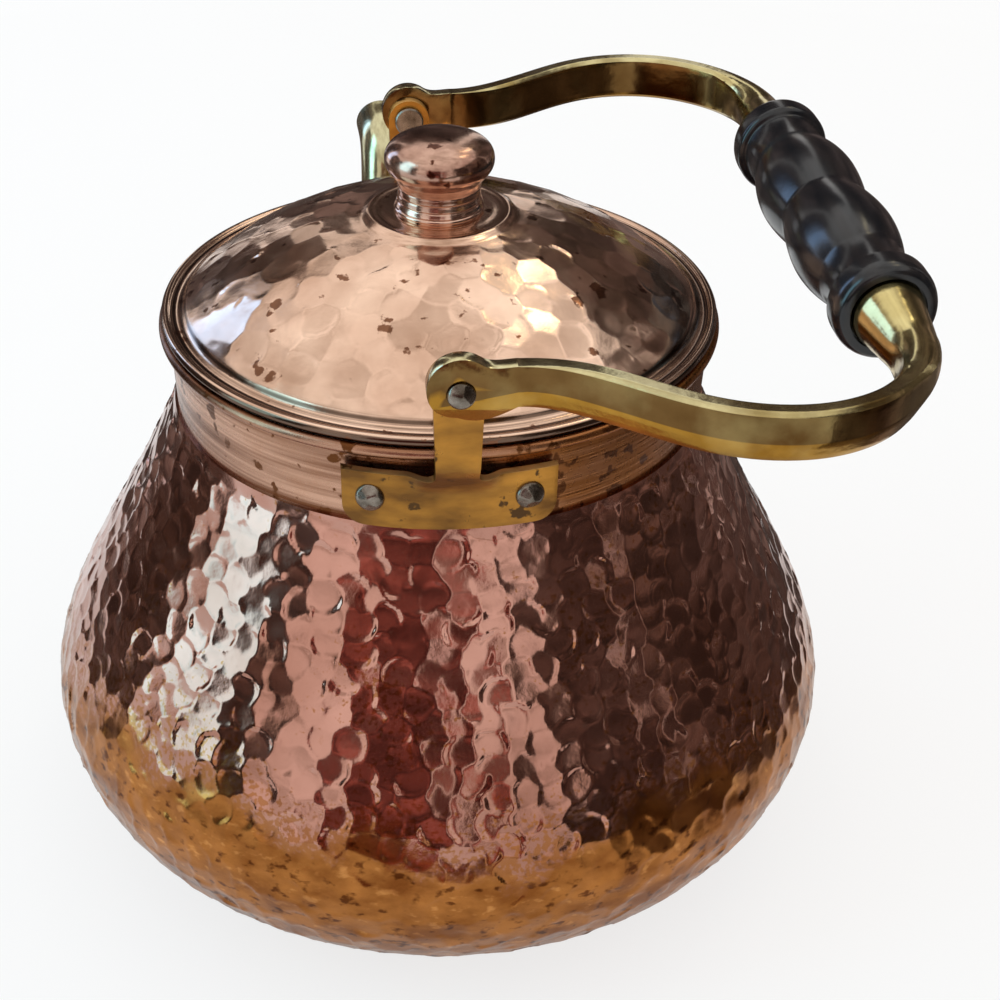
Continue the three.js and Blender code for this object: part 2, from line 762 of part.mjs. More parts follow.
// The rear arm, on the +Y side, drawn from the pivot axis at X 0 and Z 0
function bailArm() {
  const bossEnd = GRIP_HALF_L - GRIP_RECESS + GAP;
  const sweep = new THREE.CubicBezierCurve(
    v2(ARM_STRAIGHT, eyeMiddle),
    v2(ARM_STRAIGHT + ARM_GROWTH, eyeMiddle),
    v2(ARM_CREST - ARM_CREST_RUN, bailHalfW),
    v2(ARM_CREST, bailHalfW),
  );
  const corner = new THREE.CubicBezierCurve(
    v2(ARM_CREST, bailHalfW),
    v2(ARM_CREST + CORNER_FULLNESS * (BAIL_REACH - ARM_CREST), bailHalfW),
    v2(BAIL_REACH, cornerEnd + CORNER_SIDE * (bailHalfW - cornerEnd)),
    v2(BAIL_REACH, cornerEnd),
  );
  const stations = [
    { at: v2(ARM_START, eyeMiddle), along: v2(1, 0), round: 0, radius: BOSS_NECK_R },
  ];
  [sweep, corner].forEach((curve, first) => {
    for (let i = first; i <= ARM_STEPS; i += 1) {
      const t = i / ARM_STEPS;
      const rounding = (t - CORNER_ROUND_FROM) / (1 - CORNER_ROUND_FROM);
      const round = curve === corner ? Math.max(0, rounding) : 0;
      stations.push({ at: curve.getPoint(t), along: curve.getTangent(t), round, radius: BOSS_NECK_R });
    }
  });
  for (let i = 1; i <= BOSS_STEPS; i += 1) {
    const y = THREE.MathUtils.lerp(cornerEnd, bossEnd, i / BOSS_STEPS);
    const radius = THREE.MathUtils.lerp(BOSS_NECK_R, BOSS_R, i / BOSS_STEPS);
    stations.push({ at: v2(BAIL_REACH, y), along: v2(0, -1), round: 1, radius });
  }
  const rings = stations.map(({ at, along, round, radius }) => {
    const grown = THREE.MathUtils.smoothstep(at.x, ARM_STRAIGHT, ARM_STRAIGHT + ARM_GROWTH);
    const thickness = THREE.MathUtils.lerp(EYE_T, ARM_T, grown);
    const height = THREE.MathUtils.lerp(ARM_NECK_H, ARM_H, grown);
    const lift = BAIL_BOW * (1 - (at.x / BAIL_REACH) ** 4);
    return armSection(thickness, height, round, radius).map(
      (point) => v3(at.x - along.y * point.x, at.y + along.x * point.x, lift + point.y),
    );
  });
  const eye = slab(eyeOutline(), eyeIn, eyeOut).subtract(eyeFacet());
  const pinHole = bar(v3(0, eyeIn - CUT, 0), v3(0, eyeOut + CUT, 0), PIN_R + RUNNING, ROUND_SMALL);
  const rodHole = bar(
    v3(BAIL_REACH, bossEnd - CUT, 0),
    v3(BAIL_REACH, GRIP_HALF_L + ROD_IN_BOSS + GAP, 0),
    ROD_R + GAP,
    ROUND_TINY,
  );
  return skinned(rings).add(eye).subtract(pinHole).subtract(rodHole);
}

// Half of the grip is a flange, a neck and a bead, and the other half mirrors it
function gripProfile() {
  const neckEnd = GRIP_HALF_L - GRIP_FLANGE_W - GRIP_NECK_W;
  const half = [
    v2(BOSS_R + GAP, GRIP_HALF_L - GRIP_RECESS),
    v2(BOSS_R + GAP, GRIP_HALF_L),
    v2(GRIP_FLANGE_R - GRIP_FLANGE_DROP, GRIP_HALF_L),
    v2(
      GRIP_FLANGE_R - GRIP_FLANGE_TURN * GRIP_FLANGE_DROP,
      GRIP_HALF_L - GRIP_FLANGE_TURN * GRIP_FLANGE_FALL,
    ),
    v2(GRIP_FLANGE_R, GRIP_HALF_L - GRIP_FLANGE_FALL),
    v2(GRIP_FLANGE_R, GRIP_HALF_L - GRIP_FLANGE_W + GRIP_FLANGE_EDGE),
    v2(GRIP_NECK_R + GRIP_NECK_BREAK, GRIP_HALF_L - GRIP_FLANGE_W),
    v2(GRIP_NECK_R, GRIP_HALF_L - GRIP_FLANGE_W - GRIP_NECK_W / 2),
  ];
  for (let i = 0; i < GRIP_STEPS; i += 1) {
    const along = i / GRIP_STEPS;
    const valley = THREE.MathUtils.lerp(GRIP_NECK_R, GRIP_GROOVE_R, along);
    const swell = 1 - Math.abs(2 * along - 1) ** GRIP_SWELL;
    half.push(v2(THREE.MathUtils.lerp(valley, GRIP_BEAD_R, swell), neckEnd * (1 - along)));
  }
  const mirrored = half.map((point) => v2(point.x, -point.y)).reverse();
  const bore = ROD_R + GAP;
  return ringProfile([
    v2(bore, GRIP_HALF_L - GRIP_RECESS),
    ...half,
    v2(GRIP_GROOVE_R, 0),
    ...mirrored,
    v2(bore, -GRIP_HALF_L + GRIP_RECESS),
  ]);
}

function rodProfile() {
  const end = GRIP_HALF_L + ROD_IN_BOSS - GAP;
  return [v2(0, -end), v2(ROD_R, -end), v2(ROD_R, end), v2(0, end)];
}

function buildPot() {
  const pot = new THREE.Group();
  const { shell, collar } = potPieces();
  const { spout, ring } = spoutPieces();
  let neck = collar;
  const rear = -BAIL_OFFSET;
  const rivets = [
    ['rivet_front_left', rivetAngle(BAIL_OFFSET, -1)],
    ['rivet_front_right', rivetAngle(BAIL_OFFSET, 1)],
    ['rivet_rear_left', Math.PI + rivetAngle(rear, 1)],
    ['rivet_rear_right', Math.PI + rivetAngle(rear, -1)],
  ];
  rivets.forEach(([name, angle]) => {
    neck = neck.subtract(rivetHole(angle));
    pot.add(mesh(name, rivet(angle), steel));
  });
  pot.add(mesh('body_shell', shell, copper));
  pot.add(mesh('neck_collar', neck, copper));
  pot.add(mesh('spout', spout, brass));
  pot.add(mesh('spout_seat_ring', ring, brass));
  pot.add(mesh('bracket_front', bracket(BAIL_OFFSET), brass));
  pot.add(mesh('bracket_rear', bracket(rear).rotate([0, 0, 180]), brass));
  const pin = pivotPin();
  const place = [BAIL_OFFSET, 0, pivotZ];
  pot.add(mesh('pivot_pin_rear', pin.translate(place), steel));
  pot.add(mesh('pivot_pin_front', pin.rotate([0, 0, 180]).translate(place), steel));
  return pot;
}

function buildLid() {
  const lid = new THREE.Group();
  const { dome, skirt } = lidPieces();
  const { knob, washer, screw } = knobPieces();
  lid.add(mesh('lid_dome', dome, copper));
  lid.add(mesh('lid_skirt', skirt, tinned));
  lid.add(mesh('lid_knob', knob, copper));
  lid.add(mesh('knob_washer', washer, steel));
  lid.add(mesh('knob_screw', screw, steel));
  return lid;
}

function buildBail() {
  const bail = new THREE.Group();
  bail.position.set(BAIL_OFFSET, 0, pivotZ);
  const arm = bailArm();
  bail.add(mesh('bail_arm_rear', arm, brass));
  bail.add(mesh('bail_arm_front', arm.mirror([0, 1, 0]), brass));
  const grip = new THREE.Group();
  grip.position.set(BAIL_REACH, 0, 0);
  grip.add(mesh('grip', turnedAcross(gripProfile(), ROUND_SMALL), wood));
  grip.add(mesh('grip_rod', turnedAcross(rodProfile(), ROUND_TINY), steel));
  bail.add(grip);
  return bail;
}

const kettle = new THREE.Group();
kettle.add(buildPot());
kettle.add(buildLid());
kettle.add(buildBail());

export default kettle;
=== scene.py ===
"""Dresses the kettle's frame for the picture: hammered copper, worn brass and a lacquered wooden grip.

Sizes are written in millimetres, as in the part's source, and turned into metres by MM.
"""

import math
from functools import cached_property

import bmesh
import bpy
import numpy as np
from mathutils import Euler, Matrix, Vector


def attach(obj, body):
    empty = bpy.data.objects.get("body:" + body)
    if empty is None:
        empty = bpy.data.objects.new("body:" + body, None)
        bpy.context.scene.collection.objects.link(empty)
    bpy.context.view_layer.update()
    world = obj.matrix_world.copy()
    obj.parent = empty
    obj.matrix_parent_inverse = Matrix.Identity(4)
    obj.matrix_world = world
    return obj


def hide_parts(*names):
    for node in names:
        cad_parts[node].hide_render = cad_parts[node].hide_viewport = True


MM = 0.001
SEED = 7

# Pot body, from the part's source
WALL = 1.3
BASE_R, BELLY_R, BELLY_Z = 60.0, 115.0, 48.0
SEAM_R, SEAM_Z = 72.4, 138.8
BASE_RUN, BASE_LIFT, BELLY_DROP, BELLY_RISE = 28.0, 1.5, 28.0, 20.0
FLANK_RUN, FLANK_SLOPE = 36.0, 0.4

# Collar and lid
COLLAR_R, COLLAR_WALL, COLLAR_FLARE = 71.6, 1.2, 0.6
RIM_R, RIM_Z, RIM_BEAD = 74.7, 160.3, 1.5
LID_R, LID_BEAD, LID_BEAD_Z, LID_WALL = 73.8, 1.25, 163.35, 1.0
DOME_R, DOME_SPHERE, DOME_FOOT_Z, CROWN_R = 67.3, 105.0, 165.6, 13.5
CROWN_RING_R, CROWN_RING_W, CROWN_RING_H = 18.0, 1.3, 0.7
SKIRT_R, SKIRT_WALL, SKIRT_LOW, SKIRT_TOP, SKIRT_BREAK = 69.4, 1.0, 154.0, 163.0, 0.25

# Brackets, rivets and pivot pins
BAIL_OFFSET, PIVOT_Z = -2.4, 182.6
PLATE_IN, PLATE_OUT = 73.5, 75.7
PLATE_W, PLATE_BOTTOM, PLATE_TOP, PLATE_CORNER, PLATE_OFFSET = 51.5, 140.6, 155.6, 5.0, -1.1
UPRIGHT_W, EAR_R, EAR_IN, EAR_OUT, STEM_FILLET = 10.2, 6.0, 77.1, 80.2, 1.6
JOGGLE_LOW, JOGGLE_HIGH, JOGGLE_FALL = 149.5, 161.5, 5.0
RIVET_SPACING, RIVET_Z, RIVET_HEAD_R, RIVET_HEAD_H = 37.0, 148.7, 3.6, 2.3
PIN_R, PIN_HEAD_R, PIN_HEAD_H, PIN_TAIL_R, PIN_TAIL_H = 2.5, 3.25, 2.0, 4.2, 1.6
PIN_HEAD_GAP, PIN_HEAD_BITE, PIN_TAIL_BREAK, PLATE_BREAK = 0.2, 0.5, 0.4, 0.55

# Bail and grip
EYE_R, EYE_IN, EYE_OUT, EYE_HOLE_R = 7.7, 80.5, 84.5, 2.7
EYE_JOIN_TOP, EYE_JOIN_LOW, EYE_WEB, EYE_FACET_DROP = 55.0, 265.0, 2.4, 3.4
NECK_X, NECK_EASE = 13.0, 3.0
BAIL_REACH, BAIL_HALF_W, BAIL_BOW = 105.4, 107.4, 1.2
ARM_STRAIGHT, ARM_GROWTH, ARM_CREST, ARM_CREST_RUN = 12.5, 22.0, 70.0, 26.0
ARM_T, ARM_H, EYE_T, ARM_NECK_H = 5.0, 12.4, 4.0, 11.0
ARM_CHAMFER, ARM_FACET, ARM_FACET_IN, ARM_FINE, ARM_BREAK = 1.0, 4.6, 1.5, 3, 0.4
CORNER_END, CORNER_FULLNESS, CORNER_SIDE, CORNER_ROUND_FROM = 72.0, 0.56, 0.5, 0.55
BOSS_NECK_R, BOSS_R, BOSS_END = 6.4, 9.1, 53.5
GRIP_HALF_L, GRIP_RECESS, GRIP_BORE_R = 55.0, 1.8, 2.8
GRIP_FLANGE_R, GRIP_FLANGE_W, GRIP_NECK_R, GRIP_NECK_W = 12.8, 9.8, 10.8, 11.6
GRIP_FLANGE_FALL, GRIP_FLANGE_DROP, GRIP_FLANGE_EDGE = 4.2, 2.1, 1.9
GRIP_BEAD_R, GRIP_GROOVE_R, GRIP_SWELL = 13.5, 11.6, 1.8

# Knob
KNOB_Z = 189.15
KNOB_FOOT_R, KNOB_STEM_R, KNOB_WAIST_R, KNOB_HEAD_R = 11.7, 11.4, 11.1, 14.1
KNOB_WAIST_H, KNOB_HEAD_H, KNOB_H = 8.0, 13.6, 20.0
KNOB_RING_H, KNOB_WAIST_IN, KNOB_FOOT_BEAD, KNOB_FOOT_BEAD_H = 1.7, 0.55, 0.6, 0.75
KNOB_LINES, KNOB_LINE_DEPTH, KNOB_LINE_W = (2.9, 4.6, 6.6), 0.14, 0.22

# Spout
SPOUT_TURN, SPOUT_WALL = 3.0, 1.3
SPOUT_POINTS = [(86, 78), (113, 97), (125, 125), (129.5, 145.8), (134.5, 153.3), (146, 156.1)]
SPOUT_ROOT_R, SPOUT_NECK_R, SPOUT_MOUTH_R, SPOUT_NECK_AT = 20.0, 9.0, 7.4, 0.62
SPOUT_LIP, SPOUT_LIP_FROM, BORE_RUN_ON = 0.6, 0.84, 14.0
SEAT_RING_IN, SEAT_RING_W, SEAT_RING_T, SEAT_RING_TILT = 4.5, 6.5, 1.6, 31.0

# Gap between neighbours, the smallest gap, and the angle over which an edge stays sharp
GAP, NEAR, SHARP = 0.3, 0.05, 40.0

# Hammer marks: pitch along a course, depth, how many degrees they lean, and the size of the mesh under them
BODY_MARK, BODY_DEPTH, BODY_LEAN, BODY_GRID = 7.1, 0.46, 5.0, 0.68
LID_MARK, LID_DEPTH, LID_LEAN, LID_GRID = 8.4, 0.34, 2.4, 0.7

# Where the marks fade out, as lengths along the skin: at the pot's base and seam, and on the lid beyond a
# plain strip at the foot of the dome and one round the crown's ring
BODY_FADE_LOW, BODY_FADE_HIGH = 6.0, 3.5
LID_PLAIN, LID_FADE_LOW, CROWN_RING_PLAIN, LID_FADE_HIGH = 1.0, 5.0, 1.5, 4.0

# All marks, as shares of pitch or depth: step between courses, stray, the least and most depth and reach,
# and how much of the dish is round, where the rest is a flat bottom with a steep edge
COURSE_STEP, MARK_STRAY, MARK_HIT, MARK_REACH, MARK_ROUND = 0.88, 0.1, (0.6, 1.0), (0.66, 0.78), 0.35
MARK_ROWS = 2

# Struck heads of rivets and pins: flats by their lean, stray and place, and the mesh
FLAT_LEAN, FLAT_STRAY, FLAT_LEVEL, FLAT_REACH = (14, 38), 0.3, 0.8, 0.42
HEAD_RINGS, HEAD_SIDES, HEAD_SHARP = 12, 48, 28.0

# Camera: where it stands round the kettle, and how the picture is framed
CAMERA_AZIMUTH, CAMERA_ELEVATION, CAMERA_ROLL = -5.0, 36.89, 0.2
CAMERA_TARGET_Z, CAMERA_DISTANCE = 67.5, 499.5
PICTURE_PX, FOCAL_PX, CENTRE_X_PX, CENTRE_Y_PX = 1000.0, 1649.5, 438.0, 584.0
SENSOR = 36.0

# Dark flags round the kettle, as used for polished metal. Standing ones have the azimuths of their sides,
# the elevation of their top and a tone, lying ones their azimuths, near and far edge and a tone.
FLAG_DISTANCE, FLAG_FOOT, FLAG_LOW = 800.0, 100.0, 1.0
DARK, WARM, GREY = (0.075, 0.055, 0.05), (0.24, 0.085, 0.075), (0.11, 0.085, 0.075)
FLAGS = [
    (-31, -1, 35, WARM), (2, 8, 32, WARM), (25, 58, 42, DARK), (59, 110, 46, GREY), (112, 160, 47, DARK),
    (165, 196, 42, DARK), (200, 218, 40, DARK), (233, 266, 36, GREY), (292, 306, 36, DARK),
]
LYING_FLAGS = [(38, 160, 235, FLAG_DISTANCE, GREY), (160, 268, 340, FLAG_DISTANCE, GREY)]

# The flags are mottled: the scale of the noise, and its stops as places and shares of the tone
FLAG_MOTTLE, FLAG_SHARES = 7.0, ((0.36, 0.35), (0.54, 1.1), (0.7, 3.4))

# Soft lights: azimuth, elevation, width and height in metres, watts and colour
LIGHT_DISTANCE, LIGHT_AIM_Z = 1600.0, 100.0
LIGHTS = {
    "window": (-81, 24, 0.62, 1.5, 8.4, (0.22, 0.74, 1.0)),
    "far_window": (-134, 18, 0.26, 0.9, 2.2, (0.2, 0.5, 1.0)),
    "lamp": (122, 62, 0.16, 0.2, 0.42, (1.0, 0.84, 0.5)),
    "far_lamp": (146, 51, 0.1, 0.28, 0.32, (1.0, 0.86, 0.55)),
}

# Floor: its reach, and how much of it camera rays and mirrored rays see as plain white
FLOOR_REACH, FLOOR_TO_CAMERA, FLOOR_IN_MIRROR = 6000.0, 0.75, 0.25
BLACK, WHITE = (0, 0, 0), (1, 1, 1)

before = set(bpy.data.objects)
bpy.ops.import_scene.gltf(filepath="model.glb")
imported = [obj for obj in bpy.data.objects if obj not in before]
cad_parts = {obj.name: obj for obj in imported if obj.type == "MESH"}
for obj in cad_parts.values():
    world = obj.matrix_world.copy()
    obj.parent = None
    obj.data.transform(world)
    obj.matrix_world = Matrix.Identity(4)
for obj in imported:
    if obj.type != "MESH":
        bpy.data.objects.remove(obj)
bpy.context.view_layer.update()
scene = bpy.context.scene
draw = np.random.default_rng(SEED)


def placed(name, data):
    """A new object in the scene."""
    made = bpy.data.objects.new(name, data)
    scene.collection.objects.link(made)
    return made


def reshade(piece, sharp=None):
    """Shades a piece smooth, with edges over an angle kept sharp."""
    piece.data.shade_smooth()
    if sharp is not None:
        piece.data.set_sharp_from_angle(angle=math.radians(sharp))


def mesh_object(name, points, faces, sharp=None):
    """A smooth mesh in the frame's metres, from points in millimetres."""
    data = bpy.data.meshes.new(name)
    data.from_pydata((np.asarray(points, dtype=float) * MM).tolist(), [], faces)
    data.validate()
    build = bmesh.new()
    build.from_mesh(data)
    bmesh.ops.recalc_face_normals(build, faces=build.faces)
    build.to_mesh(data)
    build.free()
    piece = placed(name, data)
    reshade(piece, sharp)
    return piece


def dress(piece, body, finish, node):
    """Puts a piece on its body, gives it its finish and lets it stand for a CAD node."""
    piece.data.materials.clear()
    piece.data.materials.append(finish)
    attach(piece, body)
    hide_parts(node)


def apply_modifiers(piece):
    """Bakes a piece's modifiers into its mesh."""
    depsgraph = bpy.context.evaluated_depsgraph_get()
    data = bpy.data.meshes.new_from_object(piece.evaluated_get(depsgraph))
    piece.modifiers.clear()
    piece.data = data


def cut(piece, tool, operation="DIFFERENCE"):
    """Cuts a tool out of a piece or joins it on, then removes the tool."""
    step = piece.modifiers.new("cut", "BOOLEAN")
    step.operation = operation
    step.solver = "MANIFOLD"
    step.object = tool
    apply_modifiers(piece)
    bpy.data.objects.remove(tool)


def bevel(piece, width, segments, angle, sharp):
    """Breaks the edges of a piece that turn by more than an angle."""
    step = piece.modifiers.new("bevel", "BEVEL")
    step.width = width * MM
    step.segments = segments
    step.limit_method = "ANGLE"
    step.angle_limit = math.radians(angle)
    apply_modifiers(piece)
    reshade(piece, sharp)


def past(value, start, length):
    """How far a value is past a start, as a share of a length from 0 to 1."""
    return np.clip((value - start) / length, 0, 1)


def smooth(share):
    """A share eased at both ends."""
    return share * share * (3 - 2 * share)


def tangents(line):
    """Unit vectors along a line of points."""
    along = np.gradient(line, axis=0)
    return along / np.linalg.norm(along, axis=1)[:, None]


def full_turn(sides):
    """The angles of a ring's points."""
    return 2 * np.pi * np.arange(sides) / sides


def around(line, angle, out=0, up=0):
    """Rings of points about Z, from a line of radii and heights, each point moved out and up."""
    radius, height = line[:, :1] + out, line[:, 1:] + up
    return np.stack([radius * np.cos(angle), radius * np.sin(angle), height + 0 * angle], axis=-1)


def grid_faces(rows, columns, closed_rows=False, closed_columns=True):
    """Quads over rows of points that follow each other, each row a ring or an open line."""
    faces = []
    for i in range(rows if closed_rows else rows - 1):
        below, above = i * columns, ((i + 1) % rows) * columns
        for j in range(columns if closed_columns else columns - 1):
            k = (j + 1) % columns
            faces.append((below + j, below + k, above + k, above + j))
    return faces


def fan_closed(rings, low, high):
    """Points and faces over rings, closed by fans to a point before the first and after the last."""
    rows, sides = rings.shape[:2]
    end, last = rows * sides, (rows - 1) * sides
    faces = grid_faces(rows, sides)
    for j in range(sides):
        k = (j + 1) % sides
        faces += [(end, k, j), (end + 1, last + j, last + k)]
    return np.vstack([rings.reshape(-1, 3), low, high]), faces


def revolved(name, profile, sides, across=False, ring=False, sharp=SHARP):
    """A body turned about Z, or about Y with across, from a profile of radius and height.

    The profile starts and ends on the axis. With ring it is a closed loop that stays clear of the axis.
    """
    profile = np.asarray(profile, dtype=float)
    if ring:
        points = around(profile, full_turn(sides)).reshape(-1, 3)
        faces = grid_faces(len(profile), sides, closed_rows=True)
    else:
        rings = around(profile[1:-1], full_turn(sides))
        points, faces = fan_closed(rings, (0, 0, profile[0, 1]), (0, 0, profile[-1, 1]))
    if across:
        points = points[:, [1, 2, 0]]
    return mesh_object(name, points, faces, sharp)


def swept(name, rings):
    """A body skinned over rings of points, flat at both ends."""
    rings = np.asarray(rings, dtype=float)
    rows, columns = rings.shape[:2]
    faces = grid_faces(rows, columns)
    faces.append(tuple(range(columns))[::-1])
    faces.append(tuple(range((rows - 1) * columns, rows * columns)))
    return mesh_object(name, rings.reshape(-1, 3), faces, SHARP)


def bezier(a, b, c, d, steps):
    """Points along a cubic curve, both ends included."""
    t = np.linspace(0, 1, steps + 1)[:, None]
    a, b, c, d = (np.asarray(p, dtype=float) for p in (a, b, c, d))
    return (1 - t) ** 3 * a + 3 * (1 - t) ** 2 * t * b + 3 * (1 - t) * t**2 * c + t**3 * d


def arc(cx, cy, radius, start, end, steps):
    """Points along a circle, from one angle in degrees to another."""
    angle = np.radians(np.linspace(start, end, steps + 1))
    return np.stack([cx + radius * np.cos(angle), cy + radius * np.sin(angle)], axis=-1)


def even(line, step=None, count=None):
    """A line laid again as evenly spaced points, by their step or number, and their places along it."""
    run = np.concatenate([[0], np.cumsum(np.linalg.norm(np.diff(line, axis=0), axis=1))])
    places = np.linspace(0, run[-1], count or int(round(run[-1] / step)) + 1)
    return np.stack([np.interp(places, run, line[:, k]) for k in range(2)], axis=-1), places


def hammered(radius, run, sides, pitch, depth, lean, fade):
    """How deep each point of a turned surface lies under hammer marks laid in courses.

    radius and run are each row's radius and its length along the profile, and fade is its share of the
    depth. Each mark is a shallow, nearly flat-bottomed disc that leans by up to about the given angle.
    """
    course_step = COURSE_STEP * pitch
    courses = int(run[-1] / course_step) + 3
    course_run = (np.arange(courses) - 1) * course_step
    course_radius = np.maximum(np.interp(course_run, run, radius), pitch)
    count = np.maximum(6, np.round(2 * np.pi * course_radius / pitch)).astype(int)
    start = draw.uniform(0, 2 * np.pi, courses)
    shape = (courses, count.max())
    stray_along, stray_up = MARK_STRAY * pitch * draw.uniform(-1, 1, (2, *shape))
    tilt_along, tilt_up = math.tan(math.radians(lean)) * draw.uniform(-1, 1, (2, *shape))
    hit = depth * draw.uniform(*MARK_HIT, shape)
    reach = pitch * draw.uniform(*MARK_REACH, shape)
    angle = full_turn(sides)
    deepest = np.zeros((len(radius), sides))
    for i, (r, s) in enumerate(zip(radius, run)):
        nearest = int(round(s / course_step)) + 1
        for c in range(max(0, nearest - MARK_ROWS), min(courses, nearest + MARK_ROWS + 1)):
            turn = 2 * np.pi / count[c]
            slot = np.round((angle - start[c]) / turn).astype(int)
            for shift in (-1, 0, 1):
                j = (slot + shift) % count[c]
                mark = start[c] + (slot + shift) * turn
                along = (angle - mark) * r - stray_along[c, j]
                up = s - course_run[c] - stray_up[c, j]
                out = (along**2 + up**2) / reach[c, j] ** 2
                dish = hit[c, j] * (1 - MARK_ROUND * out - (1 - MARK_ROUND) * out**3)
                dish += np.where(out < 1, tilt_along[c, j] * along + tilt_up[c, j] * up, 0)
                deepest[i] = np.maximum(deepest[i], dish)
    return deepest * fade[:, None]


class Tree:
    """A material's or world's node tree, with short calls for the nodes used here."""

    def __init__(self, owner):
        owner.use_nodes = True
        self.nodes, self.links = owner.node_tree.nodes, owner.node_tree.links

    @cached_property
    def place(self):
        """The outputs of a texture coordinate node."""
        return self.nodes.new("ShaderNodeTexCoord").outputs

    @cached_property
    def path(self):
        """The outputs of a light path node."""
        return self.nodes.new("ShaderNodeLightPath").outputs

    def fill(self, node, values):
        """Fills a node's inputs, each with a socket, a number, a vector or a colour."""
        for key, value in values.items():
            socket = node.inputs[key]
            if isinstance(value, bpy.types.NodeSocket):
                self.links.new(value, socket)
            elif socket.type == "RGBA":
                socket.default_value = (*value, 1)
            else:
                socket.default_value = value
        return node.outputs

    def add(self, kind, values, operation=None):
        """The outputs of a new node with its inputs filled."""
        node = self.nodes.new("ShaderNode" + kind)
        if operation:
            node.operation = operation
        return self.fill(node, values)

    def math(self, operation, *values):
        """A sum over sockets and numbers."""
        return self.add("Math", dict(enumerate(values)), operation)["Value"]

    def axis(self, space, letter):
        """One coordinate in a space."""
        return self.add("SeparateXYZ", {"Vector": self.place[space]})[letter]

    def spread(self, value, low, high, start=0.0, end=1.0):
        """A value between low and high spread between start and end."""
        values = {"Value": value, "From Min": low, "From Max": high, "To Min": start, "To Max": end}
        return self.add("MapRange", values)["Result"]

    def over(self, letter, low, high):
        """0 below one place along an axis, in millimetres, and 1 above another."""
        return self.spread(self.axis("Object", letter), low * MM, high * MM)

    def noise(self, scale, detail=3.0, stretch=(1, 1, 1)):
        """A noise texture over the object's own space."""
        where = self.add("Mapping", {"Vector": self.place["Object"], "Scale": stretch})["Vector"]
        return self.add("TexNoise", {"Vector": where, "Scale": scale, "Detail": detail})["Fac"]

    def shifted(self, source, other, share):
        """One value with a share of another, centred on a half, added to it."""
        return self.math("ADD", source, self.math("MULTIPLY_ADD", other, share, -0.5 * share))

    def ramp(self, source, *stops):
        """A colour ramp with its stops given as (place, colour)."""
        node = self.nodes.new("ShaderNodeValToRGB")
        band = node.color_ramp
        while len(band.elements) < len(stops):
            band.elements.new(0.5)
        for element, (place, colour) in zip(band.elements, stops):
            element.position = place
            element.color = (*colour, 1)
        return self.fill(node, {"Fac": source})["Color"]

    def mix(self, factor, first, second, blend="MIX"):
        """Two colours mixed by a factor."""
        node = self.nodes.new("ShaderNodeMix")
        node.data_type = "RGBA"
        node.blend_type = blend
        return self.fill(node, {0: factor, 6: first, 7: second})[2]

    def multiply(self, first, second):
        """Two colours multiplied."""
        return self.mix(1.0, first, second, "MULTIPLY")

    def rings(self, scale):
        """A noise that changes only with the distance from Z."""
        flat = self.add("VectorMath", {0: self.place["Object"], 1: (1, 1, 0)}, "MULTIPLY")["Vector"]
        node = self.nodes.new("ShaderNodeTexNoise")
        node.noise_dimensions = "1D"
        radius = self.add("VectorMath", {0: flat}, "LENGTH")["Value"]
        return self.fill(node, {"W": radius, "Scale": scale})["Fac"]

    def bump(self, shader, height, distance):
        """Fine relief on a shader, its distance in millimetres."""
        values = {"Height": height, "Distance": distance * MM, "Strength": 1.0}
        self.fill(shader, {"Normal": self.add("Bump", values)["Normal"]})

    def finish(self, surface):
        """Gives the material its surface."""
        self.fill(self.nodes["Material Output"], {"Surface": surface})


def material(name):
    """A new material with its tree and its shader."""
    made = bpy.data.materials.new(name)
    tree = Tree(made)
    return made, tree, tree.nodes["Principled BSDF"]


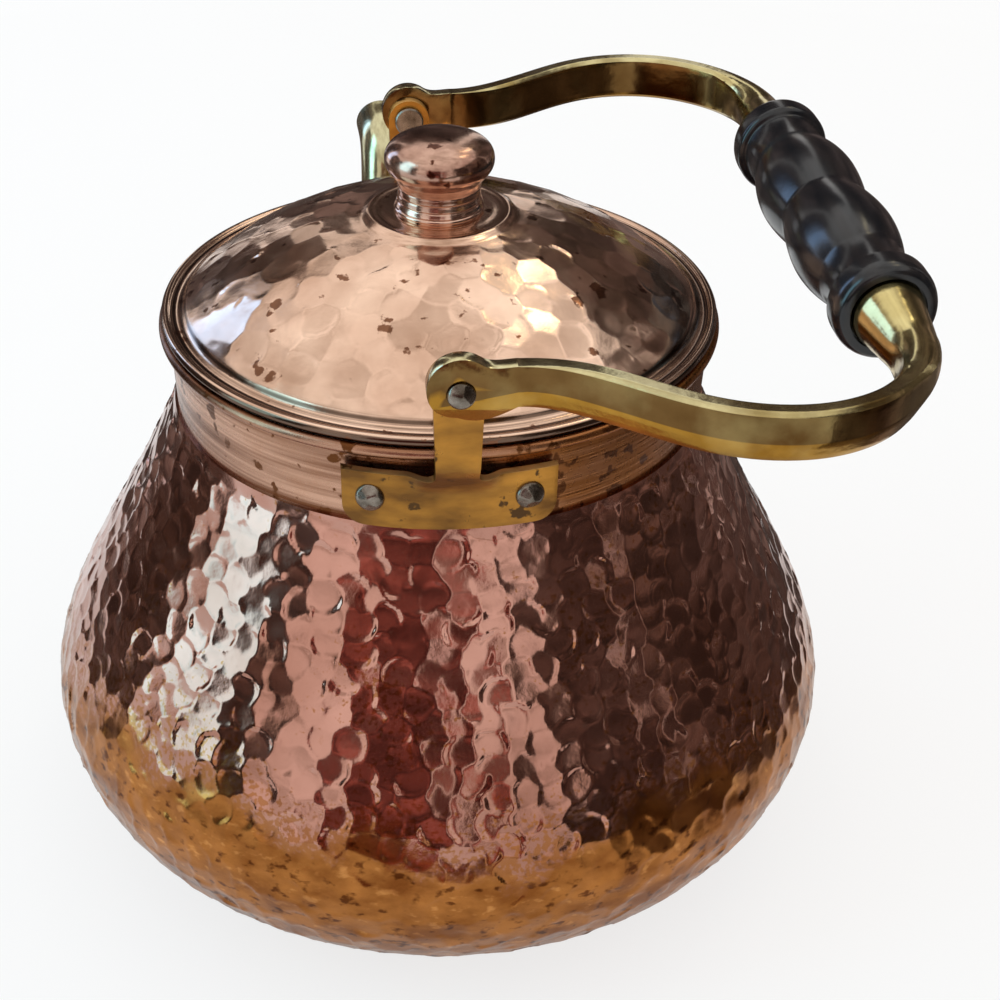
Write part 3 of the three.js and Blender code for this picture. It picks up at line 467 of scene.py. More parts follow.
def metal(name, bright, dull, patch, rough, grain, grain_depth, stretch=(1, 1, 1), low_stain_and_shade=None,
          painted_facing_light=None, specks=None, side=None, turned=None, polish=1.0):
    """A metal with duller patches and a fine grain, with painted light and shade where asked.

    bright and dull are its tones, patch and grain the scales of their noises, rough the least and most
    roughness, grain_depth is in millimetres, stretch draws both noises out, and polish is the share of
    bare metal. The rest is left out where it is None:
    low_stain_and_shade: a darker band low down, partly stained and partly painted shade, by its lower and
    upper height, its tone, spots and flecks
    painted_facing_light: painted light and shade by how far a face looks down or up, as stops of a ramp
    specks: small marks, by threshold and tone
    side: light or shade painted towards +X, by where it starts, where it is full and its tone
    turned: dark rings round Z, by the heights where they start to fade and are gone, scale and tone
    """
    made, tree, shader = material(name)
    colour = tree.ramp(tree.noise(patch, 5.0, stretch), (0.36, bright), (0.66, dull))
    gloss = tree.spread(tree.noise(3.5 * patch, 4.0), 0, 1, *rough)
    # Painted light and shade: faces are tinted by how far they look up or down.
    if painted_facing_light:
        up = tree.math("MULTIPLY_ADD", tree.axis("Normal", "Z"), 0.5, 0.5)
        colour = tree.multiply(colour, tree.ramp(up, *painted_facing_light))
    # Painted light and shade: a tone laid over the +X side of the piece.
    if side:
        start, full, tone = side
        share = tree.shifted(tree.over("X", start, full), tree.noise(60.0, 6.0), 0.9)
        colour = tree.mix(tree.ramp(share, (0.0, BLACK), (1.0, WHITE)), colour, tone)
    if turned:
        full, gone, scale, tone = turned
        ringed = tree.multiply(colour, tree.ramp(tree.rings(scale), (0.38, tone), (0.6, WHITE)))
        colour = tree.mix(tree.over("Z", full, gone), ringed, colour)
    if specks:
        threshold, tone = specks
        marks = tree.ramp(tree.noise(170.0, 5.0), (threshold, BLACK), (threshold + 0.03, WHITE))
        colour = tree.mix(marks, colour, tone)
    # A darker band low down, partly staining and partly painted shade.
    if low_stain_and_shade:
        low, high, stain_and_shade, spots, flecks = low_stain_and_shade
        ragged = tree.shifted(tree.over("Z", low, high), tree.noise(30.0, 7.0), 1.5)
        fine = tree.shifted(ragged, tree.noise(700.0), 1.9)
        fringe = tree.ramp(fine, (0.55, (0.75, 0.75, 0.75)), (0.72, BLACK))
        field = tree.noise(230.0, 5.0, (1, 1, 1.6))
        speckled = tree.ramp(field, (0.33, spots), (0.42, stain_and_shade), (0.6, stain_and_shade), (0.7, flecks))
        blotches = tree.ramp(
            tree.noise(85.0, 4.0, (1, 1, 1.7)),
            (0.36, (0.7, 0.62, 0.56)), (0.5, WHITE), (0.66, (1.3, 1.35, 1.4)),
        )
        mask = tree.ramp(ragged, (0.42, WHITE), (0.6, BLACK))
        colour = tree.mix(fringe, colour, stain_and_shade)
        colour = tree.mix(mask, colour, tree.multiply(speckled, blotches))
        gloss = tree.mix(mask, gloss, (0.22, 0.22, 0.22))
    tree.fill(shader, {"Base Color": colour, "Roughness": gloss, "Metallic": polish})
    tree.bump(shader, tree.noise(grain, 3.0, stretch), grain_depth)
    return made


body_copper = metal(
    "body_copper", (0.56, 0.29, 0.225), (0.38, 0.175, 0.125), 22.0, (0.06, 0.2), 260.0, 0.06,
    # The low band also paints shade where the lower belly mirrors darker surroundings.
    low_stain_and_shade=(44.0, 82.0, (0.34, 0.125, 0.03), (0.12, 0.035, 0.008), (0.5, 0.21, 0.06)),
)
lid_copper = metal(
    "lid_copper", (0.88, 0.62, 0.47), (0.56, 0.35, 0.245), 34.0, (0.07, 0.24), 240.0, 0.05,
    specks=(0.64, (0.2, 0.09, 0.05)), turned=(165.4, 166.6, 900.0, (0.2, 0.18, 0.17)),
)
collar_copper = metal(
    "collar_copper", (0.62, 0.36, 0.25), (0.17, 0.065, 0.03), 150.0, (0.2, 0.36), 500.0, 0.12,
    # side paints shade over the collar's right side.
    stretch=(0.07, 0.07, 3.0), specks=(0.6, (0.13, 0.045, 0.015)), side=(-30, 50, (0.34, 0.12, 0.025)),
)
knob_copper = metal(
    "knob_copper", (0.66, 0.43, 0.33), (0.26, 0.12, 0.085), 70.0, (0.08, 0.28), 260.0, 0.08,
    specks=(0.64, (0.1, 0.035, 0.02)),
)
bracket_brass = metal(
    "bracket_brass", (0.52, 0.235, 0.033), (0.16, 0.066, 0.01), 75.0, (0.22, 0.4), 320.0, 0.22,
    # Painted highlight: faces that look up are made brighter and whiter.
    painted_facing_light=[(0.5, (1, 1, 1)), (0.7, (1, 1, 1)), (0.85, (1.9, 2.4, 5.0)), (1.0, (2.0, 2.7, 7.0))],
    stretch=(0.6, 1, 1.5), specks=(0.62, (0.08, 0.035, 0.007)), polish=0.7,
)
bail_brass = metal(
    "bail_brass", (0.76, 0.70, 0.42), (0.36, 0.27, 0.11), 55.0, (0.08, 0.26), 180.0, 0.12,
    # Painted shade on the upright faces and a painted golden reflection on faces that look down.
    painted_facing_light=[
        (0.0, (0.4, 0.24, 0.09)), (0.33, (0.66, 0.38, 0.09)), (0.43, (0.62, 0.35, 0.09)),
        (0.47, (0.24, 0.14, 0.08)), (0.6, (0.28, 0.18, 0.1)), (0.8, (0.75, 0.7, 0.6)), (1.0, (1, 1, 1)),
    ],
    # Painted highlight on the corner and the boss towards +X.
    side=(86, 108, (0.72, 0.6, 0.26)),
)
spout_brass = metal(
    "spout_brass", (0.62, 0.58, 0.36), (0.40, 0.34, 0.17), 60.0, (0.12, 0.26), 500.0, 0.04,
)
rivet_steel = metal(
    "rivet_steel", (0.30, 0.26, 0.22), (0.1, 0.08, 0.06), 260.0, (0.18, 0.36), 900.0, 0.08,
)
fixing_steel = metal(
    "fixing_steel", (0.5, 0.48, 0.46), (0.38, 0.36, 0.34), 90.0, (0.25, 0.4), 900.0, 0.02,
)
tinned_copper = metal(
    "tinned_copper", (0.62, 0.6, 0.56), (0.45, 0.42, 0.38), 60.0, (0.3, 0.45), 500.0, 0.03,
)


def lacquer():
    """Black gloss lacquer over turned wood."""
    made, tree, shader = material("lacquered_wood")
    grain = tree.noise(90.0, 6.0, (3, 0.35, 3))
    colour = tree.ramp(grain, (0.4, (0.005, 0.006, 0.008)), (0.72, (0.016, 0.013, 0.013)))
    tree.fill(shader, {"Base Color": colour, "Roughness": 0.2, "IOR": 1.5})
    tree.bump(shader, tree.noise(160.0), 0.06)
    return made


lacquered_wood = lacquer()


def body_line(distance, steps=80):
    """The pot's outline from the edge of its base to its seam, moved out along its normal."""
    lower = bezier(
        (BASE_R, 0), (BASE_R + BASE_RUN, BASE_LIFT), (BELLY_R, BELLY_Z - BELLY_DROP),
        (BELLY_R, BELLY_Z), steps,
    )
    upper = bezier(
        (BELLY_R, BELLY_Z), (BELLY_R, BELLY_Z + BELLY_RISE),
        (SEAM_R + FLANK_RUN * FLANK_SLOPE, SEAM_Z - FLANK_RUN), (SEAM_R, SEAM_Z), steps,
    )
    line = np.vstack([lower, upper[1:]])
    along = tangents(line)
    return line + distance * np.stack([along[:, 1], -along[:, 0]], axis=-1)


def spout_line(steps):
    """Centre line and tangents of the spout, as places in Y and Z, at an even step."""
    points = np.array(SPOUT_POINTS, dtype=float)
    points = np.vstack([2 * points[0] - points[1], points, 2 * points[-1] - points[-2]])
    t = np.linspace(0, 1, 40, endpoint=False)[:, None]
    fine = []
    for before, start, end, after in zip(points, points[1:], points[2:], points[3:]):
        chords = ((before, start), (start, end), (end, after))
        gap_0, gap_1, gap_2 = (np.linalg.norm(b - a) ** 0.5 for a, b in chords)
        leave = (start - before) / gap_0 - (end - before) / (gap_0 + gap_1) + (end - start) / gap_1
        arrive = (end - start) / gap_1 - (after - start) / (gap_1 + gap_2) + (after - end) / gap_2
        leave, arrive = leave * gap_1, arrive * gap_1
        square = 3 * (end - start) - 2 * leave - arrive
        cube = 2 * (start - end) + leave + arrive
        fine.append(start + leave * t + square * t**2 + cube * t**3)
    line, _ = even(np.vstack([*fine, points[-2]]), count=steps + 1)
    return line, tangents(line)


def turn_about_z(points, degrees):
    """Points turned about the pot's axis."""
    c, s = math.cos(math.radians(degrees)), math.sin(math.radians(degrees))
    points = np.asarray(points, dtype=float)
    x, y = points[..., 0], points[..., 1]
    return np.stack([c * x - s * y, s * x + c * y, points[..., 2]], axis=-1)


def spout_tube(name, grow, run_on=BORE_RUN_ON, sides=48, steps=60):
    """The spout's form, grown by a distance, with its ends run on past the centre line."""
    line, along = spout_line(steps)
    t = np.linspace(0, 1, steps + 1)
    ease = 0.5 - 0.5 * np.cos(np.pi * np.minimum(t / SPOUT_NECK_AT, 1))
    radius = SPOUT_ROOT_R + (SPOUT_NECK_R - SPOUT_ROOT_R) * ease
    radius += (SPOUT_MOUTH_R - SPOUT_NECK_R) * past(t, SPOUT_NECK_AT, 1 - SPOUT_NECK_AT)
    radius += SPOUT_LIP * past(t, SPOUT_LIP_FROM, 1 - SPOUT_LIP_FROM) ** 2 + grow
    if run_on:
        line = np.vstack([line[0] - run_on * along[0], line, line[-1] + run_on * along[-1]])
        along = np.vstack([along[0], along, along[-1]])
        radius = np.pad(radius, 1, "edge")
    angle = full_turn(sides)
    up = radius[:, None] * np.sin(angle)
    y = line[:, :1] - along[:, 1:] * up
    z = line[:, 1:] + along[:, :1] * up
    rings = np.stack([radius[:, None] * np.cos(angle), y, z], axis=-1)
    return swept(name, turn_about_z(rings, SPOUT_TURN))


def make_body():
    """The raised pot, with hammer marks laid in level courses from the base to the seam."""
    outer, run = even(body_line(0), BODY_GRID)
    angle = full_turn(int(2 * np.pi * BELLY_R / BODY_GRID))
    fade = past(run, 0, BODY_FADE_LOW) * past(run[-1] - run, 0, BODY_FADE_HIGH)
    sink = hammered(outer[:, 0], run, len(angle), BODY_MARK, BODY_DEPTH, BODY_LEAN, fade)
    along = tangents(outer)
    skin = around(outer, angle, -along[:, 1:] * sink, along[:, :1] * sink)
    inner = body_line(-WALL - BODY_DEPTH, 20)[::-1]
    inner[-1, 1] = WALL
    inner[0] = (SEAM_R - WALL, SEAM_Z)
    points, faces = fan_closed(np.vstack([skin, around(inner, angle)]), (0, 0, 0), (0, 0, WALL))
    pot = mesh_object("hammered_body", points, faces, 50.0)
    cut(pot, spout_tube("spout_bore", -SPOUT_WALL))
    dress(pot, "pot", body_copper, "body_shell")


def make_collar():
    """The smooth neck with its rolled rim."""
    foot, top = SEAM_Z + NEAR, RIM_Z - RIM_BEAD
    line = [
        (COLLAR_R, foot),
        (COLLAR_R + 0.5 * COLLAR_FLARE, 0.5 * (SEAM_Z + top)),
        (COLLAR_R + COLLAR_FLARE, top),
        *arc(RIM_R - RIM_BEAD, RIM_Z, RIM_BEAD, -75, 135, 14),
        (COLLAR_R + COLLAR_FLARE - COLLAR_WALL, RIM_Z),
        (COLLAR_R - COLLAR_WALL, foot),
    ]
    collar = revolved("turned_collar", line, 240, ring=True, sharp=50.0)
    dress(collar, "pot", collar_copper, "neck_collar")


def make_spout():
    """The curved spout, standing on the belly."""
    spout = spout_tube("curved_spout", 0, run_on=0)
    cut(spout, spout_tube("bore", -SPOUT_WALL))
    line = body_line(GAP)
    inside = np.vstack([[(0, line[0, 1])], line, [(0, line[-1, 1])]])
    cut(spout, revolved("belly", inside, 180))
    reshade(spout, SHARP)
    dress(spout, "pot", spout_brass, "spout")


def make_seat_ring():
    """The flange round the spout's root, pressed to the shape of the belly."""
    tilt = math.radians(SEAT_RING_TILT)
    root = np.array([0, *SPOUT_POINTS[0]], dtype=float)
    forward = np.array([0, math.cos(tilt), math.sin(tilt)])
    up = np.array([0, -math.sin(tilt), math.cos(tilt)])
    side = np.array([1.0, 0, 0])
    sides = 96
    low, high, top = SPOUT_ROOT_R - SEAT_RING_IN, SPOUT_ROOT_R + SEAT_RING_W, GAP + SEAT_RING_T

    def on_belly(radius, distance):
        outline, points = body_line(distance), []
        for angle in full_turn(sides):
            near, far = 0.0, 60.0
            spoke = root + radius * (math.cos(angle) * side + math.sin(angle) * up)
            for _ in range(30):
                middle = 0.5 * (near + far)
                x, y, z = spoke + middle * forward
                if math.hypot(x, y) < np.interp(z, outline[:, 1], outline[:, 0]):
                    near = middle
                else:
                    far = middle
            points.append(spoke + far * forward)
        return points

    section = ((low, GAP), (low, top), (high - 0.8, top), (high, top - 0.7), (high, GAP))
    rings = turn_about_z(np.array([on_belly(*place) for place in section]), SPOUT_TURN)
    faces = grid_faces(len(rings), sides, closed_rows=True)
    ring = mesh_object("spout_flange", rings.reshape(-1, 3), faces)
    cut(ring, spout_tube("root", NEAR))
    reshade(ring, SHARP)
    dress(ring, "pot", spout_brass, "spout_seat_ring")


def half_stem(z):
    """Half the width of a bracket's upright at a height, with fillets where it leaves the wings."""
    if z > PIVOT_Z:
        return math.sqrt(max(EAR_R**2 - (z - PIVOT_Z) ** 2, 0))
    share = past(z, PLATE_TOP, PIVOT_Z - PLATE_TOP)
    width = UPRIGHT_W / 2 + (EAR_R - UPRIGHT_W / 2) * share
    rise = min(max(z - PLATE_TOP, 0), STEM_FILLET)
    return width + STEM_FILLET - math.sqrt(STEM_FILLET**2 - (STEM_FILLET - rise) ** 2)


def plate_sheet(name, middle):
    """A T-shaped bracket cut from plate: wings round the collar and an upright over the rim."""
    half = PLATE_W / 2
    wing, stem = 20, 8
    levels = [
        *(PLATE_BOTTOM + PLATE_CORNER * (1 - np.cos(np.linspace(0, np.pi / 2, 9)))),
        *np.linspace(PLATE_BOTTOM + PLATE_CORNER, PLATE_TOP, 13)[1:],
        *np.linspace(PLATE_TOP, PLATE_TOP + STEM_FILLET, 6)[1:],
        *np.linspace(PLATE_TOP + STEM_FILLET, PIVOT_Z, 26)[1:],
        *(PIVOT_Z + EAR_R * np.sin(np.linspace(0, np.radians(84), 12)))[1:],
    ]

    def out(x, z, face, ear):
        curved = math.sqrt(max(face**2 - (x + middle) ** 2, 0))
        share = past(z, JOGGLE_LOW, JOGGLE_HIGH - JOGGLE_LOW)
        side = 1 - past(abs(x), half_stem(z), JOGGLE_FALL)
        return curved + (ear - curved) * smooth(share) * smooth(side)

    index, cells, points = {}, [], []
    for row, z in enumerate(levels):
        drop = max(PLATE_BOTTOM + PLATE_CORNER - z, 0)
        inset = PLATE_CORNER - math.sqrt(max(PLATE_CORNER**2 - drop**2, 0))
        stem_half = half_stem(z)
        xs, first = np.linspace(-stem_half, stem_half, stem + 1), wing
        if z <= PLATE_TOP + 1e-6:
            left = np.linspace(PLATE_OFFSET - half + inset, -stem_half, wing + 1)[:-1]
            right = np.linspace(PLATE_OFFSET + half - inset, stem_half, wing + 1)[:-1]
            xs, first = [*left, *xs, *right[::-1]], 0
        for column, x in enumerate(xs, first):
            index[row, column] = len(points)
            points.append((x, z))
    for row, column in index:
        corners = [(row, column), (row, column + 1), (row + 1, column + 1), (row + 1, column)]
        if all(corner in index for corner in corners):
            cells.append([index[corner] for corner in corners])
    count = len(points)
    front = [(x + middle, -out(x, z, PLATE_OUT, EAR_OUT), z) for x, z in points]
    back = [(x + middle, -out(x, z, PLATE_IN, EAR_IN), z) for x, z in points]
    faces = [tuple(cell) for cell in cells]
    faces += [tuple(count + i for i in reversed(cell)) for cell in cells]
    edges = {(a, b) for cell in cells for a, b in zip(cell, cell[1:] + cell[:1])}
    faces += [(b, a, count + a, count + b) for a, b in edges if (b, a) not in edges]
    return mesh_object(name, front + back, faces)


def turn_half(piece):
    """Turns a mesh half way round the pot's axis."""
    piece.data.transform(Matrix.Rotation(math.pi, 4, "Z"))


def to_pivot(piece, out=0.0):
    """Moves a mesh from the origin to the bail's pivots, or out along the bail from them."""
    piece.data.transform(Matrix.Translation(((BAIL_OFFSET + out) * MM, 0, PIVOT_Z * MM)))


def make_bracket(end, rear):
    """A bracket with broken edges, at the front or, turned round, at the rear."""
    plate = plate_sheet(f"{end}_plate", -BAIL_OFFSET if rear else BAIL_OFFSET)
    bevel(plate, PLATE_BREAK, 3, 40.0, 35.0)
    if rear:
        turn_half(plate)
    dress(plate, "pot", bracket_brass, f"bracket_{end}")


def hammered_head(radius, height, seat, flats):
    """A domed head along -Y with flats struck on it, as points and faces."""
    tilt = np.radians(draw.uniform(*FLAT_LEAN, flats))
    heading = 2 * np.pi * (np.arange(flats) + draw.uniform(-FLAT_STRAY, FLAT_STRAY, flats)) / flats

    def rise_at(x, z):
        rise = height * math.sqrt(max(0, 1 - (x * x + z * z) / radius**2))
        for lean, head in zip(tilt, heading):
            run = x * math.cos(head) + z * math.sin(head)
            rise = min(rise, FLAT_LEVEL * height + (FLAT_REACH * radius - run) * math.tan(lean))
        return max(0.0, rise)

    rings = []
    for ring in range(HEAD_RINGS):
        reach = radius * math.cos(0.5 * math.pi * ring / HEAD_RINGS)
        places = [(reach * math.cos(angle), reach * math.sin(angle)) for angle in full_turn(HEAD_SIDES)]
        rings.append([(x, -seat - rise_at(x, z), z) for x, z in places])
    return fan_closed(np.array(rings), (0, -seat, 0), (0, -seat - rise_at(0, 0), 0))


def make_rivet(name, node, side, rear):
    """A grey rivet with a hammered head, along the radius."""
    middle = -BAIL_OFFSET if rear else BAIL_OFFSET
    angle = math.asin((middle + PLATE_OFFSET + side * RIVET_SPACING / 2) / PLATE_IN)
    points, faces = hammered_head(RIVET_HEAD_R, RIVET_HEAD_H, PLATE_OUT - NEAR, 5)
    points = turn_about_z(points, math.degrees(angle) + (180 if rear else 0))
    points[:, 2] += RIVET_Z
    rivet = mesh_object(name, points, faces, HEAD_SHARP)
    dress(rivet, "pot", rivet_steel, node)


def make_pin(end, rear):
    """A pivot pin: a struck head outside the bail's eye, a shank and a flat tail inside the ear."""
    pin = mesh_object(f"{end}_pin", *hammered_head(PIN_HEAD_R, PIN_HEAD_H, EYE_OUT + PIN_HEAD_GAP, 6))
    high, low, tip = EAR_IN - NEAR, EAR_IN - NEAR - PIN_TAIL_H, EYE_OUT + PIN_HEAD_BITE
    shank = revolved("shank", [
        (0, low), (PIN_TAIL_R - PIN_TAIL_BREAK, low), (PIN_TAIL_R, low + PIN_TAIL_BREAK),
        (PIN_TAIL_R, high), (PIN_R, high), (PIN_R, tip), (0, tip),
    ], 48, across=True)
    turn_half(shank)
    cut(pin, shank, "UNION")
    if rear:
        turn_half(pin)
    to_pivot(pin)
    reshade(pin, HEAD_SHARP)
    dress(pin, "pot", rivet_steel, f"pivot_pin_{end}")


def make_lid():
    """The hammered dome with its smooth flange and rolled edge."""
    sphere_z = DOME_FOOT_Z - math.sqrt(DOME_SPHERE**2 - DOME_R**2)
    crown_z = sphere_z + math.sqrt(DOME_SPHERE**2 - CROWN_R**2)
    foot = 90 - math.degrees(math.asin(DOME_R / DOME_SPHERE))
    crown = 90 - math.degrees(math.asin(CROWN_R / DOME_SPHERE))
    outer, run = even(arc(0, sphere_z, DOME_SPHERE, foot, crown, 120), LID_GRID)
    angle = full_turn(int(2 * np.pi * DOME_R / LID_GRID))
    fade = past(run, LID_PLAIN, LID_FADE_LOW)
    fade = fade * past(outer[:, 0], CROWN_RING_R + CROWN_RING_PLAIN, LID_FADE_HIGH)
    sink = hammered(outer[:, 0], run, len(angle), LID_MARK, LID_DEPTH, LID_LEAN, fade)
    lean = np.arctan2(outer[:, 0], outer[:, 1] - sphere_z)[:, None]
    ring = CROWN_RING_H * np.exp(-(((outer[:, 0] - CROWN_RING_R) / CROWN_RING_W) ** 2))[:, None]
    lift = ring - sink
    skin = around(outer, angle, lift * np.sin(lean), lift * np.cos(lean))
    bead_r = LID_R - LID_BEAD
    bead_in = bead_r - LID_BEAD
    line = np.array([
        *arc(0, sphere_z, DOME_SPHERE - LID_WALL - LID_DEPTH, crown, foot, 24),
        (bead_in, LID_BEAD_Z - NEAR),
        *arc(bead_r, LID_BEAD_Z, LID_BEAD, -115, 150, 16),
        (bead_in - 1.6, LID_BEAD_Z + 0.55), (bead_in - 3.5, LID_BEAD_Z + 1.2),
    ])
    rings = np.vstack([around(line, angle), skin])
    points, faces = fan_closed(rings, (0, 0, crown_z - LID_WALL), (0, 0, crown_z))
    lid = mesh_object("hammered_lid", points, faces, 50.0)
    dress(lid, "lid", lid_copper, "lid_dome")


def make_skirt():
    """The tinned ring under the lid that guides it in the collar."""
    inner, low = SKIRT_R - SKIRT_WALL, SKIRT_LOW + SKIRT_BREAK
    line = [
        (inner, low), (inner + SKIRT_BREAK, SKIRT_LOW), (SKIRT_R - SKIRT_BREAK, SKIRT_LOW), (SKIRT_R, low),
        (SKIRT_R, SKIRT_TOP), (inner, SKIRT_TOP),
    ]
    skirt = revolved("tinned_skirt", line, 240, ring=True)
    dress(skirt, "lid", tinned_copper, "lid_skirt")


def make_knob():
    """The turned knob: a ring at its foot, a waisted neck with fine lines and a mushroom head."""
    z = KNOB_Z
    head = z + KNOB_HEAD_H
    cap = KNOB_H - KNOB_HEAD_H
    rise = np.linspace(0, 1, 50)
    neck = np.stack([
        KNOB_STEM_R + (KNOB_WAIST_R - KNOB_STEM_R) * rise - KNOB_WAIST_IN * np.sin(np.pi * rise) ** 0.8,
        z + KNOB_RING_H + (KNOB_WAIST_H - KNOB_RING_H) * rise,
    ], axis=-1)
    for line_h in KNOB_LINES:
        neck[:, 0] -= KNOB_LINE_DEPTH * np.exp(-(((neck[:, 1] - z - line_h) / KNOB_LINE_W) ** 2))
    line = np.vstack([
        [(0, z), (KNOB_FOOT_R - KNOB_FOOT_BEAD / 2, z)],
        arc(KNOB_FOOT_R - KNOB_FOOT_BEAD, z + KNOB_FOOT_BEAD_H, KNOB_FOOT_BEAD, -60, 70, 6),
        [(KNOB_STEM_R - 0.25, z + KNOB_RING_H - 0.25)],
        neck,
        bezier(
            (KNOB_WAIST_R, z + KNOB_WAIST_H), (KNOB_WAIST_R + 0.1, z + KNOB_WAIST_H + 1.6),
            (KNOB_HEAD_R, head - 3.2), (KNOB_HEAD_R, head), 14,
        )[1:],
        bezier(
            (KNOB_HEAD_R, head), (KNOB_HEAD_R, head + 0.62 * cap),
            (0.68 * KNOB_HEAD_R, head + cap), (0, head + cap), 22,
        )[1:],
    ])
    knob = revolved("turned_knob", line, 128, sharp=30.0)
    dress(knob, "lid", knob_copper, "lid_knob")


def arm_section(thickness, height, chamfer, share, radius):
    """A bar's section with broken corners and a lower facet, which can round to a circle."""
    a, b, c = thickness / 2, height / 2, chamfer
    flat = np.array([
        (a, -b + ARM_FACET), (a, 0), (a, b - c), (a - c, b), (0, b), (c - a, b),
        (-a, b - c), (-a, 0), (-a, c - b), (c - a, -b), (0, -b), (a - ARM_FACET_IN, -b),
    ])
    step = np.arange(ARM_FINE)[:, None] / ARM_FINE
    ends = np.roll(flat, -1, axis=0)
    flat = np.vstack([start + step * (end - start) for start, end in zip(flat, ends)])
    angle = np.radians(-30 + 30 * np.arange(len(flat)) / ARM_FINE)
    circle = radius * np.stack([np.cos(angle), np.sin(angle)], axis=-1)
    return flat + (circle - flat) * share


def make_eye():
    """The eye and its web into the arm, filed off along the lower outer edge."""
    neck_top, neck_low = BAIL_BOW + ARM_NECK_H / 2, BAIL_BOW - ARM_NECK_H / 2
    low, join = BAIL_BOW - EYE_R - EYE_WEB, math.radians(EYE_JOIN_TOP)
    join_x, join_z = EYE_R * math.cos(join), BAIL_BOW + EYE_R * math.sin(join)
    upper = bezier(
        (NECK_X, neck_top), (NECK_X - NECK_EASE, neck_top),
        (join_x + NECK_EASE * math.sin(join), join_z - NECK_EASE * math.cos(join)), (join_x, join_z), 12,
    )
    eye = arc(0, BAIL_BOW, EYE_R, EYE_JOIN_TOP, EYE_JOIN_LOW, 60)
    web = bezier(eye[-1], (EYE_R / 2, low), (EYE_R, low + EYE_WEB / 2), (NECK_X, neck_low), 16)
    line = np.vstack([upper, eye[1:], web[1:]])
    piece = swept("eye", [[(x, y, z) for x, z in line] for y in (EYE_IN, EYE_OUT)])
    slope, deep = ARM_FACET_IN / ARM_FACET, 14.0
    rings = []
    for x, top in ((-EYE_R - GAP, -EYE_FACET_DROP), (NECK_X + GAP, neck_low + ARM_FACET)):
        rings.append([
            (x, EYE_OUT, top), (x, EYE_OUT + deep, top), (x, EYE_OUT + deep, top - deep),
            (x, EYE_OUT - slope * deep, top - deep),
        ])
    cut(piece, swept("facet", rings))
    return piece


def make_arm(end, rear):
    """An arm of the bail: an eye, a flat bar that sweeps out and round, and a conical boss."""
    middle = 0.5 * (EYE_IN + EYE_OUT)
    sweep = bezier(
        (ARM_STRAIGHT, middle), (ARM_STRAIGHT + ARM_GROWTH, middle),
        (ARM_CREST - ARM_CREST_RUN, BAIL_HALF_W), (ARM_CREST, BAIL_HALF_W), 30,
    )
    corner = bezier(
        (ARM_CREST, BAIL_HALF_W),
        (ARM_CREST + CORNER_FULLNESS * (BAIL_REACH - ARM_CREST), BAIL_HALF_W),
        (BAIL_REACH, CORNER_END + CORNER_SIDE * (BAIL_HALF_W - CORNER_END)),
        (BAIL_REACH, CORNER_END), 30,
    )
    rounding = past(np.linspace(0, 1, 31)[1:], CORNER_ROUND_FROM, 1 - CORNER_ROUND_FROM)
    boss = np.linspace(CORNER_END, BOSS_END, 9)[1:]
    line = np.vstack([sweep, corner[1:], [(BAIL_REACH, y) for y in boss]])
    share = np.concatenate([np.zeros(31), rounding, np.ones(len(boss))])
    swell = (1 - past(line[:, 1], BOSS_END, CORNER_END - BOSS_END)) * (share >= 1)
    radius = BOSS_NECK_R + (BOSS_R - BOSS_NECK_R) * swell
    along = tangents(line)
    along[-len(boss) - 1:] = (0, -1)
    along[0] = (1, 0)
    growth = smooth(past(line[:, 0], ARM_STRAIGHT, ARM_GROWTH))
    thickness = EYE_T + (ARM_T - EYE_T) * growth
    height = ARM_NECK_H + (ARM_H - ARM_NECK_H) * growth
    chamfer = 0.1 + (ARM_CHAMFER - 0.1) * growth
    rings = []
    for i, (x, y) in enumerate(line):
        section = arm_section(thickness[i], height[i], chamfer[i], share[i], radius[i])
        lift = BAIL_BOW * (1 - (x / BAIL_REACH) ** 4)
        rings.append(np.stack([
            x - along[i, 1] * section[:, 0], y + along[i, 0] * section[:, 0], lift + section[:, 1],
        ], axis=-1))
    arm = swept(f"{end}_arm", rings)
    cut(arm, make_eye(), "UNION")
    low, high = EYE_IN - 4, EYE_OUT + 4
    hole = [(0, low), (EYE_HOLE_R, low), (EYE_HOLE_R, high), (0, high)]
    cut(arm, revolved("hole", hole, 48, across=True))
    bevel(arm, ARM_BREAK, 2, 38.0, 26.0)
    if not rear:
        arm.data.transform(Matrix.Scale(-1, 4, (0, 1, 0)))
        arm.data.flip_normals()
    to_pivot(arm)
    dress(arm, "bail", bail_brass, f"bail_arm_{end}")


def make_grip():
    """The turned grip: a flange, a neck and a bead on each half, a groove between the beads."""
    half_l = GRIP_HALF_L
    inner = half_l - GRIP_FLANGE_W
    neck_end = inner - GRIP_NECK_W
    turn = np.linspace(0, np.pi / 2, 9)
    half = [
        (BOSS_R + GAP, half_l - GRIP_RECESS),
        (BOSS_R + GAP, half_l),
        *zip(
            GRIP_FLANGE_R - GRIP_FLANGE_DROP * (1 - np.sin(turn)),
            half_l - GRIP_FLANGE_FALL * (1 - np.cos(turn)),
        ),
        *arc(GRIP_FLANGE_R - GRIP_FLANGE_EDGE, inner + GRIP_FLANGE_EDGE, GRIP_FLANGE_EDGE, 0, -80, 7),
        (GRIP_NECK_R + 0.15, inner - 0.15),
        (GRIP_NECK_R, inner - 0.6),
    ]
    for share in np.arange(30) / 30:
        valley = GRIP_NECK_R + (GRIP_GROOVE_R - GRIP_NECK_R) * share
        swell = 1 - abs(2 * share - 1) ** GRIP_SWELL
        half.append((valley + (GRIP_BEAD_R - valley) * swell, neck_end * (1 - share)))
    line = [(GRIP_BORE_R, half_l - GRIP_RECESS), *half, (GRIP_GROOVE_R, 0)]
    line += [(r, -y) for r, y in reversed(half)] + [(GRIP_BORE_R, -half_l + GRIP_RECESS)]
    grip = revolved("turned_grip", line[::-1], 112, across=True, ring=True, sharp=42.0)
    to_pivot(grip, BAIL_REACH)
    dress(grip, "grip", lacquered_wood, "grip")


